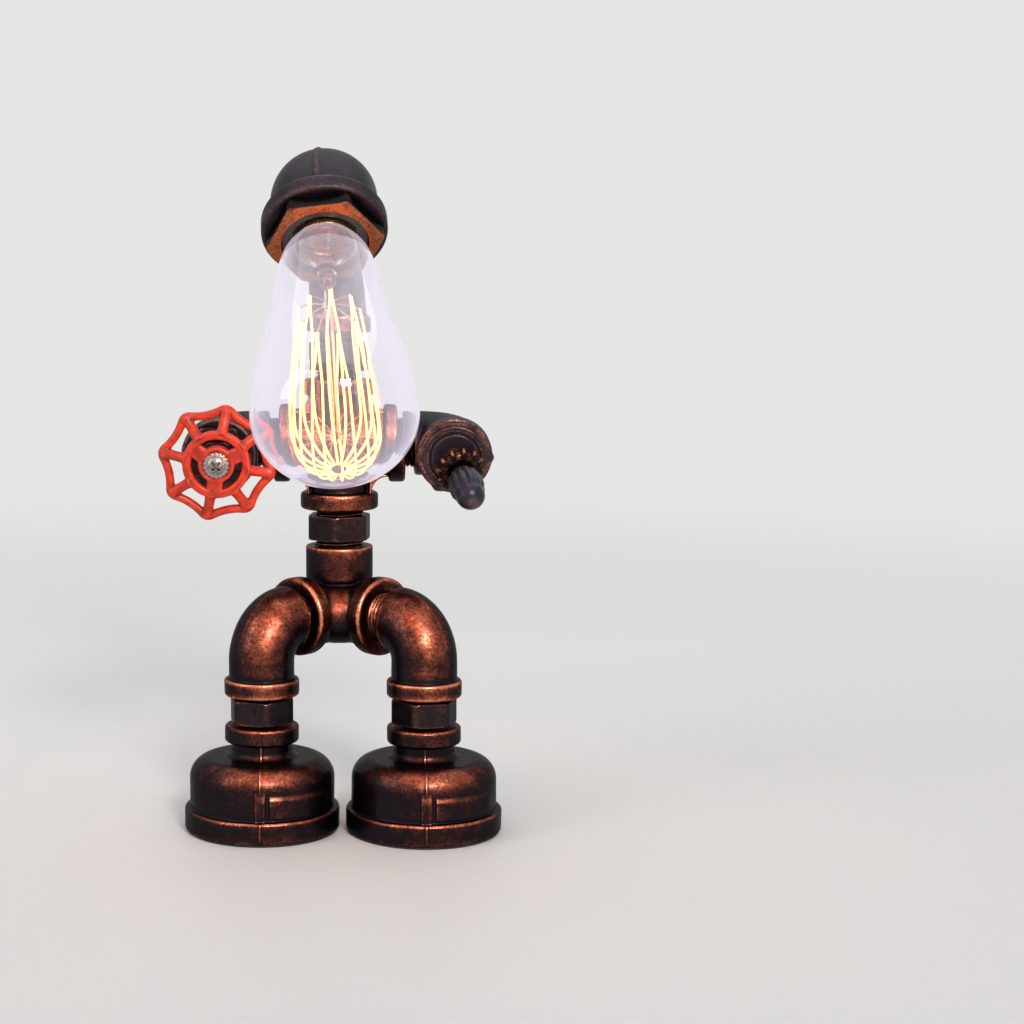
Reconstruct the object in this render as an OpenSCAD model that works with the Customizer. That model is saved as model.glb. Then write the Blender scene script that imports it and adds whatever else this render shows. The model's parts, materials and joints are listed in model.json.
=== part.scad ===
// Robot shaped desk lamp made of half-inch pipe fittings.
// Front is -Y, +Z is up, millimetres. The origin is on the floor, under the middle of the lamp's outline.

/* [Pipe fittings] */
// Outside diameter of the pipe thread
thread_d = 21.3; // [18:0.1:24]
// Radial clearance of a thread in its port
thread_gap = 0.08; // [0.04:0.01:0.1]
// How far a thread is screwed into a port
thread_in = 11; // [8:0.5:12]
// Depth of a threaded port
port_depth = 13; // [12:0.5:15]
// Diameter of the waterway through every fitting
waterway_d = 15; // [10:0.5:16]
// Outside diameter of the cast tubes
tube_d = 28; // [27:0.5:30]
// Diameter of the bead round an elbow port
band_d = 32; // [30:0.5:34]
// Diameter of the bead round a cross or pelvis port
big_band_d = 34; // [32:0.5:36]
// Width of every bead along its port
band_w = 7.2; // [5:0.1:9]
// Bevel on the edges of a bead
band_edge = 0.8; // [0.3:0.1:1.2]
// Bend radius of a right-angle elbow
bend_r = 16; // [15:0.5:17]
// Right-angle elbow, centre to the face of its port
elbow_reach = 31.1; // [30:0.1:34]
// Across flats of the nipples' hexagons
nipple_hex = 25.4; // [23:0.1:27]

/* [Feet] */
// Thickness of the rubber pad under a foot
pad_t = 1; // [0.5:0.1:3]
// How far the pad's edge stands in from the foot's edge
pad_inset = 0.9; // [0:0.1:3]
// Height of a foot without its pad
foot_h = 44.5; // [42:0.5:50]
// Diameter of a foot's rim
foot_d = 66.6; // [62:0.2:70]
// Height of a foot's rim
foot_rim_h = 9; // [6:0.5:11]
// How far the rim stands out from the body of the foot
foot_rim_out = 2.3; // [1:0.1:3]
// Height of the middle of the foot's round shoulder
shoulder_z = 19.5; // [18:0.5:22]
// Radius of the foot's round shoulder
shoulder_r = 11.5; // [8:0.5:12]
// Diameter of a foot's neck
foot_neck_d = 25.8; // [25.4:0.1:28]
// Fillet between neck and shoulder
foot_fillet = 5; // [3:0.5:6]
// Diameter of the bead round the foot's port
foot_band_d = 31.7; // [30:0.1:34]
// Diameter of the hollow inside a foot
foot_bore_d = 48.4; // [44:0.2:50]
// Radius of the hollow's shoulder
foot_bore_r = 7.5; // [4:0.5:8]
// Height of the hollow inside a foot
foot_bore_h = 25.5; // [22:0.5:27]
// Width of the casting rib down the foot's front and back
rib_w = 4.6; // [3:0.2:6]
// How far the rib stands out
rib_out = 0.8; // [0.4:0.1:1.2]
// Height of the rib's top
rib_top = 30; // [24:1:32]
// How far the raised pad beside the rib stands out
plate_out = 0.5; // [0.3:0.1:0.8]
// Angle from the rib to the near edge of the raised pad
plate_from = 7; // [6:1:12]
// Angle that the raised pad covers
plate_arc = 62; // [30:1:70]
// Height of the raised pad's top
plate_top = 21.5; // [16:0.5:23]
// Hole for the lead at the back of the right foot
inlet_d = 9; // [8:0.5:11]
// Height of the lead's hole
inlet_z = 16; // [15:0.5:18]

/* [Legs] */
// Gap between the foot's bead and the leg elbow's bead
ankle_gap = 12.8; // [10:0.1:16]
// Height of the ankle hexagons
ankle_hex_h = 10.2; // [8:0.1:12]
// Turn of the left ankle hexagon
left_ankle_turn = -20.4; // [-30:0.1:30]
// Turn of the right ankle hexagon
right_ankle_turn = 12; // [-30:0.1:30]
// Angle of each leg port from straight ahead
leg_spread = 45; // [40:1:50]
// Thread left bare at the left leg's port
left_leg_thread = 2.9; // [1:0.1:8]
// Thread left bare at the right leg's port
right_leg_thread = 7.1; // [1:0.1:9]

/* [Torso] */
// Pelvis centre to the face of a leg port
pelvis_reach = 28; // [27:0.1:32]
// Pelvis centre to the top of its plain socket
pelvis_top = 28.7; // [28:0.1:34]
// Diameter of the pelvis body
pelvis_d = 27.4; // [26:0.1:29]
// Diameter of the plain socket on top of the pelvis
socket_d = 29.4; // [28:0.1:32]
// Height of the plain socket
socket_h = 14.8; // [13:0.1:16]
// Gap between the pelvis and the cross
waist_gap = 16.4; // [12:0.1:20]
// Height of the waist hexagon
waist_hex_h = 10.6; // [8:0.1:11]
// Turn of the waist hexagon
waist_turn = -9.8; // [-30:0.1:30]
// Cross centre to the face of each port
cross_reach = 28.6; // [27:0.1:32]
// Radius of the fillets between the cross's tubes
cross_fillet = 7; // [4:0.5:8]
// Thickness of the cross's filleted webs
cross_web = 18; // [12:1:22]

/* [Neck] */
// Gap between the cross and the neck elbow
neck_gap = 20; // [16:0.5:24]
// Height of the neck hexagon
neck_hex_h = 11; // [8:0.5:12]
// Turn of the neck hexagon
neck_hex_turn = 8; // [-30:1:30]
// Neck elbow, centre to the face of each port
neck_reach = 22; // [21:0.5:25]
// Bend radius of the neck elbow
neck_bend_r = 30; // [26:1:34]
// How far the neck elbow leans forward
neck_lean = 45; // [45:45]
// How far the neck is turned to the left at rest
neck_turn = 10; // [0:1:20]
// Thread left bare between the neck elbow and the head
head_gap = 5.9; // [3:0.1:10]

/* [Head] */
// Head casting, centre to the face of its small port
head_small_reach = 31.6; // [31:0.1:36]
// Head casting, centre to the face of its mouth
head_reach = 31.6; // [30:0.1:36]
// How far the head is turned on the neck at rest
head_turn = 9.6; // [0:0.1:15]
// Diameter of the head casting's body
head_d = 44; // [43:0.2:46]
// Bend radius of the head casting
head_bend_r = 22.4; // [22.2:0.1:24]
// Diameter of the bead round the mouth
mouth_band_d = 51.2; // [48:0.2:54]
// Width of the bead round the mouth
mouth_band_w = 7.6; // [6:0.1:10]
// Width of the mould seam over the head
seam_w = 1.8; // [1:0.1:3]
// Height of the mould seam over the head
seam_out = 0.5; // [0.3:0.1:1]
// Outside diameter of the mouth's thread
mouth_thread_d = 39.4; // [38:0.1:40]
// Depth of the mouth's thread
mouth_depth = 14; // [10:0.5:15]
// Across flats of the mouth's hexagon bushing
mouth_hex = 42.2; // [40:0.1:46]
// How far the hexagon stands out of the mouth
mouth_hex_out = 6.2; // [4:0.1:9]
// Bore of the hexagon bushing
mouth_bore_d = 35.2; // [34.6:0.1:36]
// Diameter of the front of the lamp holder
holder_d = 34.8; // [33:0.1:35]
// Diameter of the back of the lamp holder
holder_back_d = 31; // [30.4:0.1:32]
// Length of the wide front of the lamp holder
holder_front_l = 16; // [12:0.5:18]
// Length of the whole lamp holder
holder_l = 31; // [30:0.5:32]
// How far the lamp holder sits back from the hexagon's face
holder_set_back = 1; // [0.5:0.1:3]
// Room round the lamp holder
holder_gap = 0.3; // [0.2:0.1:0.5]
// Thickness of the holder's clamp ring
clamp_ring_t = 2; // [1:0.1:3]
// Inner diameter of the screw shell
shell_d = 26.6; // [26.4:0.1:27]
// Thickness of the screw shell
shell_t = 0.4; // [0.3:0.1:0.6]
// Length of the screw shell
shell_l = 21; // [18:0.5:22]

/* [Bulb] */
// Largest diameter of the glass
bulb_d = 64; // [58:1:68]
// Hexagon's face to the widest ring of the glass
bulb_wide_at = 90; // [80:1:100]
// Widest ring to the end of the glass
bulb_end = 25.1; // [22:0.1:32]
// Thickness of the glass
glass_t = 0.9; // [0.6:0.1:1.2]
// Diameter of the screw cap
cap_d = 26.2; // [26:0.1:26.4]
// Length of the screw cap
cap_l = 23; // [21:0.5:24]
// Diameter of the hole in the end of the cap
cap_hole_d = 10; // [9:0.5:11]
// How far the cap's rim stands out past the hexagon's face
cap_out = 1; // [0:0.1:2]
// Height of the black insulator under the cap
insulator_h = 2.4; // [2:0.1:3]
// Diameter of the cap's insulator where it meets the cap
insulator_d = 21; // [19:0.5:23]
// Diameter of the cap's insulator where it meets the tip contact
insulator_end_d = 11; // [10:0.5:13]
// Height of the cap's tip
tip_h = 1.1; // [0.8:0.1:1.5]
// Diameter of the tip contact where it meets the insulator
tip_d = 9.4; // [8:0.2:10]
// Diameter of the tip contact's outer end
tip_end_d = 6.5; // [5:0.5:8]
// Cap's rim to the stem's upper button
upper_button_at = 33; // [31:0.5:35]
// Cap's rim to the stem's lower button
lower_button_at = 100; // [97:0.5:102]
// Diameter of the stem's two buttons
button_d = 5.2; // [4:0.1:6]
// Diameter of the stem's rod
rod_d = 3; // [2:0.1:3.6]
// Cap's rim to the top of the filament's cage
cage_top_at = 37; // [35.5:0.5:40]
// Cap's rim to the widest place of the cage
cage_wide_at = 98; // [94:0.5:99]
// Height of the cage's closing bowl
cage_close = 11; // [9:0.5:12]
// Radius of the cage at its top
cage_top_r = 12.2; // [10:0.2:14]
// Radius of the cage at its widest
cage_wide_r = 16.5; // [14:0.5:18]
// Number of filament strands
strands = 18; // [12:1:20]
// Diameter of a filament strand's solid
strand_d = 0.5; // [0.3:0.1:0.8]

/* [Arms] */
// Thread left bare at the cross, valve arm on the left
left_arm_thread = 6.4; // [2:0.1:9]
// Thread left bare at the cross, switch arm on the right
right_arm_thread = 4.1; // [2:0.1:9]
// How far both arms droop from level
arm_droop = 5; // [0:1:15]
// Thickness of the hexagon on the valve bonnet
bonnet_hex_t = 4.4; // [3:0.1:6]
// Across flats of the packing nut
packing_hex = 15; // [13:0.5:18]
// Height of the packing nut
packing_h = 5; // [4:0.5:7]
// Diameter of the dimmer and switch bodies
insert_d = 16.2; // [12:0.1:16.4]
// Length of the dimmer and switch bodies
insert_l = 13; // [10:0.5:13.5]
// Clearance round the dimmer and switch bodies
insert_gap = 0.15; // [0.1:0.05:0.3]
// Clearance round the turning stem
shaft_gap = 0.08; // [0.04:0.01:0.1]

/* [Handwheel] */
// Diameter of the handwheel over its lobes
wheel_d = 49.6; // [46:0.2:54]
// Number of lobes and spokes
lobes = 8; // [6:1:9]
// How far the rim dips in between two lobes
rim_dip = 2.6; // [2.2:0.1:4.4]
// Diameter of the rim's bar
rim_bar_d = 3.6; // [3:0.1:5]
// Bend radius of the bar round a lobe
lobe_r = 3.2; // [2.6:0.1:3.6]
// Direction of the first lobe
lobe_turn = 34; // [0:1:44]
// Height of the inner ring in front of the rim
wheel_rise = 4; // [2:0.5:6]
// Outer diameter of the inner ring
ring_d = 28.4; // [26:0.2:32]
// Width of the inner ring
ring_w = 3.6; // [2:0.1:4]
// Thickness of the inner ring
ring_t = 3.6; // [2:0.1:4]
// Diameter of a spoke
spoke_d = 4.2; // [3:0.1:4.8]
// Diameter of the hub
hub_d = 15; // [14:0.2:18]
// Width of the webs from hub to ring
web_w = 6.8; // [4:0.2:8]
// Thickness of the webs
web_t = 2.6; // [2:0.1:3]
// Direction of the first web
web_turn = 25; // [0:1:60]
// Number of webs
webs = 3; // [3:1:4]
// Arm elbow's face to the middle of the wheel's rim
wheel_at = 14.5; // [14:0.5:18]
// Diameter of the stem
stem_d = 6; // [5:0.1:7]
// Diameter of the toothed washer
washer_d = 10.8; // [9:0.2:12]
// Thickness of the toothed washer
washer_t = 0.9; // [0.6:0.1:1.5]
// Number of teeth on the washer
washer_teeth = 16; // [12:1:20]
// Diameter of the screw's head
screw_head_d = 7.6; // [6:0.2:9]
// Height of the screw's head
screw_head_h = 2.2; // [1.6:0.1:3]
// Diameter of the screw's shank
screw_d = 3; // [2.5:0.1:3.5]
// Length of the screw's shank
screw_l = 7; // [5:0.5:9]

/* [Switch] */
// Across flats of the switch plug's hexagon
plug_hex = 29.2; // [27:0.1:30]
// Thickness of the switch plug's hexagon
plug_hex_t = 2.6; // [2:0.1:4]
// Diameter of the plug's collar
collar_d = 27; // [24:0.2:28]
// Height of the plug's collar
collar_h = 1.8; // [1:0.1:2.2]
// Diameter of the plug's mouth ring
mouth_ring_d = 20.4; // [17:0.2:21]
// Height of the plug's mouth ring
step_h = 1.2; // [0.8:0.1:2]
// Diameter of the lever's ball
ball_d = 6.4; // [5:0.1:7]
// Clearance round the ball
ball_gap = 0.1; // [0.05:0.05:0.2]
// Diameter of the lever
lever_d = 4; // [3:0.1:5]
// How far the lever leans at rest
lever_lean = 28; // [20:1:30]
// Side to which the lever leans, from straight down to the right
lever_side = 25; // [0:1:45]
// Ball to the back of the scalloped collar
rosette_at = 6.6; // [6.4:0.1:9]
// Diameter of the scalloped collar
rosette_d = 21.4; // [18:0.2:23]
// Thickness of the scalloped collar
rosette_t = 3.8; // [2:0.1:5]
// Number of scallops
scallops = 12; // [8:1:16]
// Diameter of the fluted grip at its foot
grip_foot_d = 8.4; // [7:0.2:9]
// Diameter of the fluted grip at its widest
grip_d = 14.8; // [13:0.2:16]
// Diameter of the grip's round nose
grip_nose_d = 12.2; // [11:0.2:13]
// Ball to the widest place of the grip
grip_wide_at = 18.5; // [17.5:0.5:19.5]
// Ball to the grip's tip
grip_l = 32; // [30:0.5:34]
// Number of flutes
flutes = 12; // [8:1:16]
// Diameter of a flute
flute_d = 2.2; // [1:0.1:3]

/* [Wiring] */
// Diameter of the inner lead
lead_d = 4.4; // [3:0.1:5]
// Gap between the ends of two leads where a joint turns
lead_gap = 0.4; // [0.2:0.1:1]

/* [Hidden] */
$fn = 96;
eps = 0.05;
step = 0.1;

thread_r = thread_d / 2;
port_r = thread_r + thread_gap;
way_r = waterway_d / 2;
tube_r = tube_d / 2;
lead_r = lead_d / 2;
joint_r = lead_r * 1.2;
hex_ratio = 2 / sqrt(3);

// Heights, from the floor up
foot_top = pad_t + foot_h;
leg_face_z = foot_top + ankle_gap;
pelvis_z = leg_face_z + elbow_reach;
waist_z = pelvis_z + pelvis_top + waist_gap / 2;
cross_z = pelvis_z + pelvis_top + waist_gap + cross_reach;
neck_nipple_z = cross_z + cross_reach + neck_gap / 2;
neck_z = cross_z + cross_reach + neck_gap + neck_reach;
lean_l = neck_reach + head_gap + head_small_reach;
neck_tangent = neck_bend_r * tan(neck_lean / 2);

head_middle = head_bend_r * (1 - cos(45));

// Leg and arm places
left_leg_d = pelvis_reach + left_leg_thread + bend_r;
right_leg_d = pelvis_reach + right_leg_thread + bend_r;
left_arm_x = -(cross_reach + left_arm_thread + bend_r);
right_arm_x = cross_reach + right_arm_thread + bend_r;

// Depths along the mouth's axis, from the head's centre
hex_face = head_reach + mouth_hex_out;
holder_front = hex_face - holder_set_back;
cap_rim = hex_face + cap_out;
wide_z = hex_face + bulb_wide_at;

// Heights along a hand's axis, from the elbow's centre
insert_back = elbow_reach - port_depth + 0.4;
insert_front = insert_back + insert_l;
seat_gap = 0.2;
room_d = insert_d + 2 * insert_gap;
room_l = insert_l + 1 + seat_gap;
packing_z = elbow_reach + seat_gap + bonnet_hex_t;
rim_z = elbow_reach + wheel_at;
hub_back = rim_z - 1;
hub_front = rim_z + wheel_rise + ring_t / 2;
washer_z = hub_front;
collar_z = elbow_reach + seat_gap + plug_hex_t;
pivot_z = collar_z + collar_h + 0.4;
lever_l = grip_l - 10;

// Direction of the bulb's axis, and where the widest ring's centre lies forward of the torso
mouth_side = sin(head_turn);
mouth_fore = cos(head_turn) * sin(neck_lean);
axis_fore = mouth_fore * cos(neck_turn) + mouth_side * sin(neck_turn);
wide_fore = lean_l * sin(neck_lean) * cos(neck_turn) + wide_z * axis_fore;
bulb_fore = wide_fore + norm([bulb_end * axis_fore, bulb_d / 2 * sqrt(1 - axis_fore * axis_fore)]);

// Shift that puts the origin under the middle of the outline
outline_left = left_arm_x - wheel_d / 2;
outline_right = max(right_arm_x + plug_hex / 2 * hex_ratio, right_leg_d * sin(leg_spread) + foot_d / 2);
origin_x = -(outline_left + outline_right) / 2;
origin_y = (bulb_fore - big_band_d / 2) / 2;

// Rim of the handwheel: bars bent out round each lobe and in between two lobes
rim_tip_r = wheel_d / 2 - rim_bar_d / 2;
rim_low_r = rim_tip_r - rim_dip;
lobe_at = rim_tip_r - lobe_r;
half_pitch = 180 / lobes;
dip_r = (lobe_at * lobe_at + rim_low_r * rim_low_r - 2 * lobe_at * rim_low_r * cos(half_pitch) - lobe_r * lobe_r)
    / (2 * (lobe_r + lobe_at * cos(half_pitch) - rim_low_r));
dip_at = rim_low_r + dip_r;
lobe_arc = atan2(dip_at * sin(half_pitch), dip_at * cos(half_pitch) - lobe_at);
dip_arc = lobe_arc - half_pitch;

// ---- Frames ----
module placed() {
    translate([origin_x, origin_y, 0]) children();
}

module on_leg(side) {
    reach = side < 0 ? left_leg_d : right_leg_d;
    placed() translate([side * reach * sin(leg_spread), -reach * cos(leg_spread), 0]) children();
}

module on_neck() {
    placed() translate([0, 0, neck_z]) rotate([0, 0, -neck_turn]) children();
}

// Z runs up the leaning part of the neck
module on_lean() {
    on_neck() rotate([neck_lean, 0, 0]) children();
}

// Z runs up the neck through the head's centre, -Y out of the mouth
module on_head() {
    on_lean() translate([0, 0, lean_l]) rotate([0, 0, head_turn]) children();
}

// Z runs out of the mouth from the head's centre
module on_mouth() {
    on_head() rotate([90, 0, 0]) children();
}

// Z runs out of the hand, X to the right
module on_hand(side) {
    placed() translate([side < 0 ? left_arm_x : right_arm_x, 0, cross_z]) rotate([90 + arm_droop, 0, 0]) children();
}

module on_lever() {
    on_hand(1) translate([0, 0, pivot_z]) rotate([0, 0, lever_side]) rotate([lever_lean, 0, 0]) children();
}

// ---- Shapes that repeat ----
// Bead with bevelled edges, from z = 0 down
module bead(d, w) {
    r = d / 2;
    translate([0, 0, -w])
        rotate_extrude()
            polygon([[0, 0], [r - band_edge, 0], [r, band_edge], [r, w - band_edge], [r - band_edge, w], [0, w]]);
}

// Port facing +Z whose face is at z = reach
module port(reach, d, w) {
    translate([0, 0, reach]) bead(d, w);
}

module port_bore(reach, depth = port_depth) {
    translate([0, 0, reach - depth]) cylinder(r = port_r, h = depth + eps);
    translate([0, 0, 0]) cylinder(r = way_r, h = reach);
}

// Hollow tube from z = from up to the face of its beaded port
module port_end(from, reach, d) {
    r = d / 2;
    low = reach - band_w;
    seat = reach - port_depth;
    rotate_extrude()
        polygon([
            [way_r, from], [tube_r, from], [tube_r, low], [r - band_edge, low], [r, low + band_edge],
            [r, reach - band_edge], [r - band_edge, reach], [port_r, reach], [port_r, seat], [way_r, seat]
        ]);
}

// Bend in the XZ plane from the +Z axis to the +X axis
module bend(r, bar_r, hole_r = 0) {
    translate([r, 0, r])
        rotate([90, 0, 0])
            rotate_extrude(angle = 90, start = 180)
                translate([r, 0])
                    difference() {
                        circle(r = bar_r);
                        if (hole_r > 0) circle(r = hole_r);
                    }
}

// Street elbow: port up +Z, thread out along +X
module street_elbow(bare) {
    port_end(bend_r, elbow_reach, band_d);
    bend(bend_r, tube_r, way_r);
    translate([bend_r, 0, 0])
        rotate([0, 90, 0])
            difference() {
                cylinder(r = thread_r, h = bare + thread_in);
                translate([0, 0, -eps]) cylinder(r = way_r, h = bare + thread_in + 1);
            }
}

// Nipple with a hexagon round its middle
module hex_nipple(gap, hex_h, turn) {
    difference() {
        union() {
            cylinder(r = thread_r, h = gap + 2 * thread_in, center = true);
            rotate([0, 0, turn]) cylinder(d = nipple_hex * hex_ratio, h = hex_h, center = true, $fn = 6);
        }
        cylinder(r = way_r, h = gap + 2 * thread_in + 1, center = true);
    }
}

// ---- Feet ----
module foot_outline(out = 0) {
    body_r = foot_d / 2 - foot_rim_out;
    shoulder_x = body_r - shoulder_r;
    shoulder_top = shoulder_z + shoulder_r;
    square([body_r + out, shoulder_z]);
    translate([shoulder_x, shoulder_z]) circle(r = shoulder_r + out);
    square([shoulder_x, shoulder_top + out]);
}

module foot_profile() {
    neck_r = foot_neck_d / 2;
    shoulder_top = shoulder_z + shoulder_r;
    band_r = foot_band_d / 2;
    rim_r = foot_d / 2;
    intersection() {
        foot_outline();
        square([rim_r, foot_h]);
    }
    square([neck_r, foot_h - eps]);
    difference() {
        translate([neck_r - 1, shoulder_top - 1]) square(foot_fillet + 1);
        translate([neck_r + foot_fillet, shoulder_top + foot_fillet]) circle(r = foot_fillet);
    }
    polygon([
        [0, foot_h - band_w], [band_r - band_edge, foot_h - band_w], [band_r, foot_h - band_w + band_edge],
        [band_r, foot_h - band_edge], [band_r - band_edge, foot_h], [0, foot_h]
    ]);
    polygon([
        [0, 0], [rim_r - band_edge, 0], [rim_r, band_edge], [rim_r, foot_rim_h - band_edge],
        [rim_r - band_edge, foot_rim_h], [0, foot_rim_h]
    ]);
}

module foot_hollow() {
    bore_r = foot_bore_d / 2;
    shoulder_x = bore_r - foot_bore_r;
    translate([0, -1]) square([bore_r, foot_bore_h - foot_bore_r + 1]);
    translate([shoulder_x, foot_bore_h - foot_bore_r]) circle(r = foot_bore_r);
    square([shoulder_x, foot_bore_h]);
    square([way_r, foot_h]);
    translate([0, foot_h - port_depth]) square([port_r, port_depth + 1]);
}

// Ribs down the front and back, and a raised pad to the right of each
module foot_ribs() {
    for (turn = [0, 180]) {
        rotate([0, 0, turn]) {
            intersection() {
                rotate_extrude() foot_outline(rib_out);
                translate([-rib_w / 2, -foot_d, 0]) cube([rib_w, foot_d, rib_top]);
            }
            rotate_extrude(angle = plate_arc, start = plate_from - 90)
                intersection() {
                    foot_outline(plate_out);
                    translate([foot_d / 2 - shoulder_r, 0]) square([shoulder_r, plate_top]);
                }
        }
    }
}

module foot(side) {
    on_leg(side) translate([0, 0, pad_t])
        difference() {
            union() {
                rotate_extrude() foot_profile();
                foot_ribs();
            }
            rotate_extrude() intersection() {
                foot_hollow();
                translate([0, -1]) square([foot_d, foot_h + 2]);
            }
            if (side > 0)
                translate([0, 0, inlet_z]) rotate([-90, 0, 0]) cylinder(d = inlet_d, h = foot_d);
        }
}

module foot_pad(side) {
    on_leg(side) cylinder(d = foot_d - 2 * pad_inset, h = pad_t);
}

module left_foot_pad() {
    color("#1c1b1b") foot_pad(-1);
}

module right_foot_pad() {
    color("#1c1b1b") foot_pad(1);
}

module left_foot() {
    color("#6b4636") foot(-1);
}

module right_foot() {
    color("#6b4636") foot(1);
}

// Rubber bush in the right foot's back wall, where a lead can enter
module lead_grommet() {
    body_r = foot_d / 2 - foot_rim_out;
    wall = body_r - foot_bore_d / 2;
    lip = 1.4;
    lip_d = inlet_d + 2 * lip;
    hole_r = inlet_d / 2 - thread_gap;
    color("#1c1b1b")
        on_leg(1) translate([0, body_r + rib_out, pad_t + inlet_z]) rotate([90, 0, 0])
            difference() {
                union() {
                    translate([0, 0, -lip - seat_gap]) cylinder(d = lip_d, h = lip);
                    translate([0, 0, -lip]) cylinder(r = hole_r, h = wall + rib_out + lip);
                }
                translate([0, 0, -2 * lip]) cylinder(d = lead_d + 2 * insert_gap, h = wall + 4 * lip);
            }
}

// ---- Legs and torso ----
module left_ankle_nipple() {
    color("#5c4137")
        on_leg(-1) translate([0, 0, foot_top + ankle_gap / 2])
            hex_nipple(ankle_gap, ankle_hex_h, left_ankle_turn);
}

module right_ankle_nipple() {
    color("#5c4137")
        on_leg(1) translate([0, 0, foot_top + ankle_gap / 2])
            hex_nipple(ankle_gap, ankle_hex_h, right_ankle_turn);
}

module left_leg_elbow() {
    color("#6e4737")
        on_leg(-1) translate([0, 0, pelvis_z])
            rotate([0, 0, 90 - leg_spread]) rotate([180, 0, 0]) street_elbow(left_leg_thread);
}

module right_leg_elbow() {
    color("#6e4737")
        on_leg(1) translate([0, 0, pelvis_z])
            rotate([0, 0, 90 + leg_spread]) rotate([180, 0, 0]) street_elbow(right_leg_thread);
}

// Three-way corner fitting: plain socket up, two ports out to the legs
module pelvis() {
    color("#644235")
        placed() translate([0, 0, pelvis_z])
            difference() {
                union() {
                    sphere(d = pelvis_d + 2 * step);
                    cylinder(d = pelvis_d, h = pelvis_top - eps);
                    translate([0, 0, pelvis_top - socket_h]) cylinder(d = socket_d, h = socket_h);
                    for (side = [-1, 1]) {
                        rotate([90, 0, side * leg_spread]) cylinder(d = pelvis_d, h = pelvis_reach - eps);
                        rotate([90, 0, side * leg_spread]) port(pelvis_reach, big_band_d, band_w);
                    }
                }
                sphere(r = way_r + step);
                port_bore(pelvis_top);
                for (side = [-1, 1])
                    rotate([90, 0, side * leg_spread]) port_bore(pelvis_reach);
            }
}

module waist_nipple() {
    color("#5c4137") placed() translate([0, 0, waist_z]) hex_nipple(waist_gap, waist_hex_h, waist_turn);
}

// Web with two concave fillets between each pair of tubes
module cross_webs() {
    corner = tube_r - 1;
    size = cross_fillet + 1;
    rotate([90, 0, 0])
        linear_extrude(height = cross_web, center = true)
            for (turn = [0:90:270])
                rotate(turn)
                    difference() {
                        translate([corner, corner]) square(size);
                        translate([tube_r + cross_fillet, tube_r + cross_fillet]) circle(r = cross_fillet);
                    }
}

module cross() {
    color("#5a3d33")
        placed() translate([0, 0, cross_z])
            difference() {
                union() {
                    cross_webs();
                    for (turn = [0:90:270])
                        rotate([0, turn, 0]) {
                            cylinder(r = tube_r, h = cross_reach - eps);
                            port(cross_reach, big_band_d, band_w);
                        }
                }
                for (turn = [0:90:270])
                    rotate([0, turn, 0]) port_bore(cross_reach);
            }
}

// ---- Neck ----
module neck_nipple() {
    color("#5c4137")
        placed() translate([0, 0, neck_nipple_z]) hex_nipple(neck_gap, neck_hex_h, neck_hex_turn);
}

// Bend of the neck in the YZ plane, a hair slimmer than the tubes that it runs into
module neck_bend() {
    overlap = 2;
    translate([0, -neck_bend_r, -neck_tangent])
        rotate([90, 0, 90])
            rotate_extrude(angle = neck_lean + 2 * overlap, start = -overlap)
                translate([neck_bend_r, 0])
                    circle(r = tube_r - step);
}

module neck_elbow() {
    color("#5e4035")
        on_neck()
            difference() {
                union() {
                    neck_bend();
                    for (tilt = [180, neck_lean])
                        rotate([tilt, 0, 0]) {
                            translate([0, 0, neck_tangent]) cylinder(r = tube_r, h = neck_reach - neck_tangent - 1);
                            port(neck_reach, band_d, band_w);
                        }
                }
                for (tilt = [180, neck_lean])
                    rotate([tilt, 0, 0]) port_bore(neck_reach);
                sphere(r = way_r + step);
            }
}

// Close nipple, all thread
module head_nipple() {
    color("#5c4137")
        on_lean() translate([0, 0, neck_reach + head_gap / 2])
            difference() {
                cylinder(r = thread_r, h = head_gap + 2 * thread_in, center = true);
                cylinder(r = way_r, h = head_gap + 2 * thread_in + 1, center = true);
            }
}

// ---- Head ----
// Mouth tube, half of a bend that is a hair slimmer, and a half ball behind it
module head_shell() {
    body_r = head_d / 2;
    overlap = 2;
    translate([0, -head_bend_r, -head_bend_r])
        rotate([90, 0, 90])
            rotate_extrude(angle = 45 + 2 * overlap, start = 45 - overlap)
                translate([head_bend_r, 0])
                    circle(r = body_r - step);
    translate([0, -head_middle, -head_middle])
        rotate([-135, 0, 0])
            rotate_extrude()
                intersection() {
                    circle(r = body_r);
                    square(body_r);
                }
    rotate([90, 0, 0]) translate([0, 0, head_bend_r]) cylinder(r = body_r, h = head_reach - head_bend_r - 1);
}

// Thin seam over the crown, in the plane of the bend
module head_seam() {
    seam_r = head_d / 2 + seam_out;
    crown_r = head_bend_r + seam_r;
    fore = crown_r * 1.3;
    aft = crown_r / 6;
    top = 2 * crown_r;
    rotate([90, 0, 90])
        linear_extrude(height = seam_w, center = true) {
            translate([-head_bend_r, -head_bend_r])
                intersection() {
                    circle(r = crown_r);
                    polygon([[0, 0], [fore, crown_r], [crown_r, top], [-aft, top], [-aft, 0]]);
                }
            translate([-head_middle, -head_middle])
                intersection() {
                    circle(r = seam_r - step);
                    rotate(-45) translate([-seam_r, 0]) square(2 * seam_r);
                }
        }
}

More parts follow.
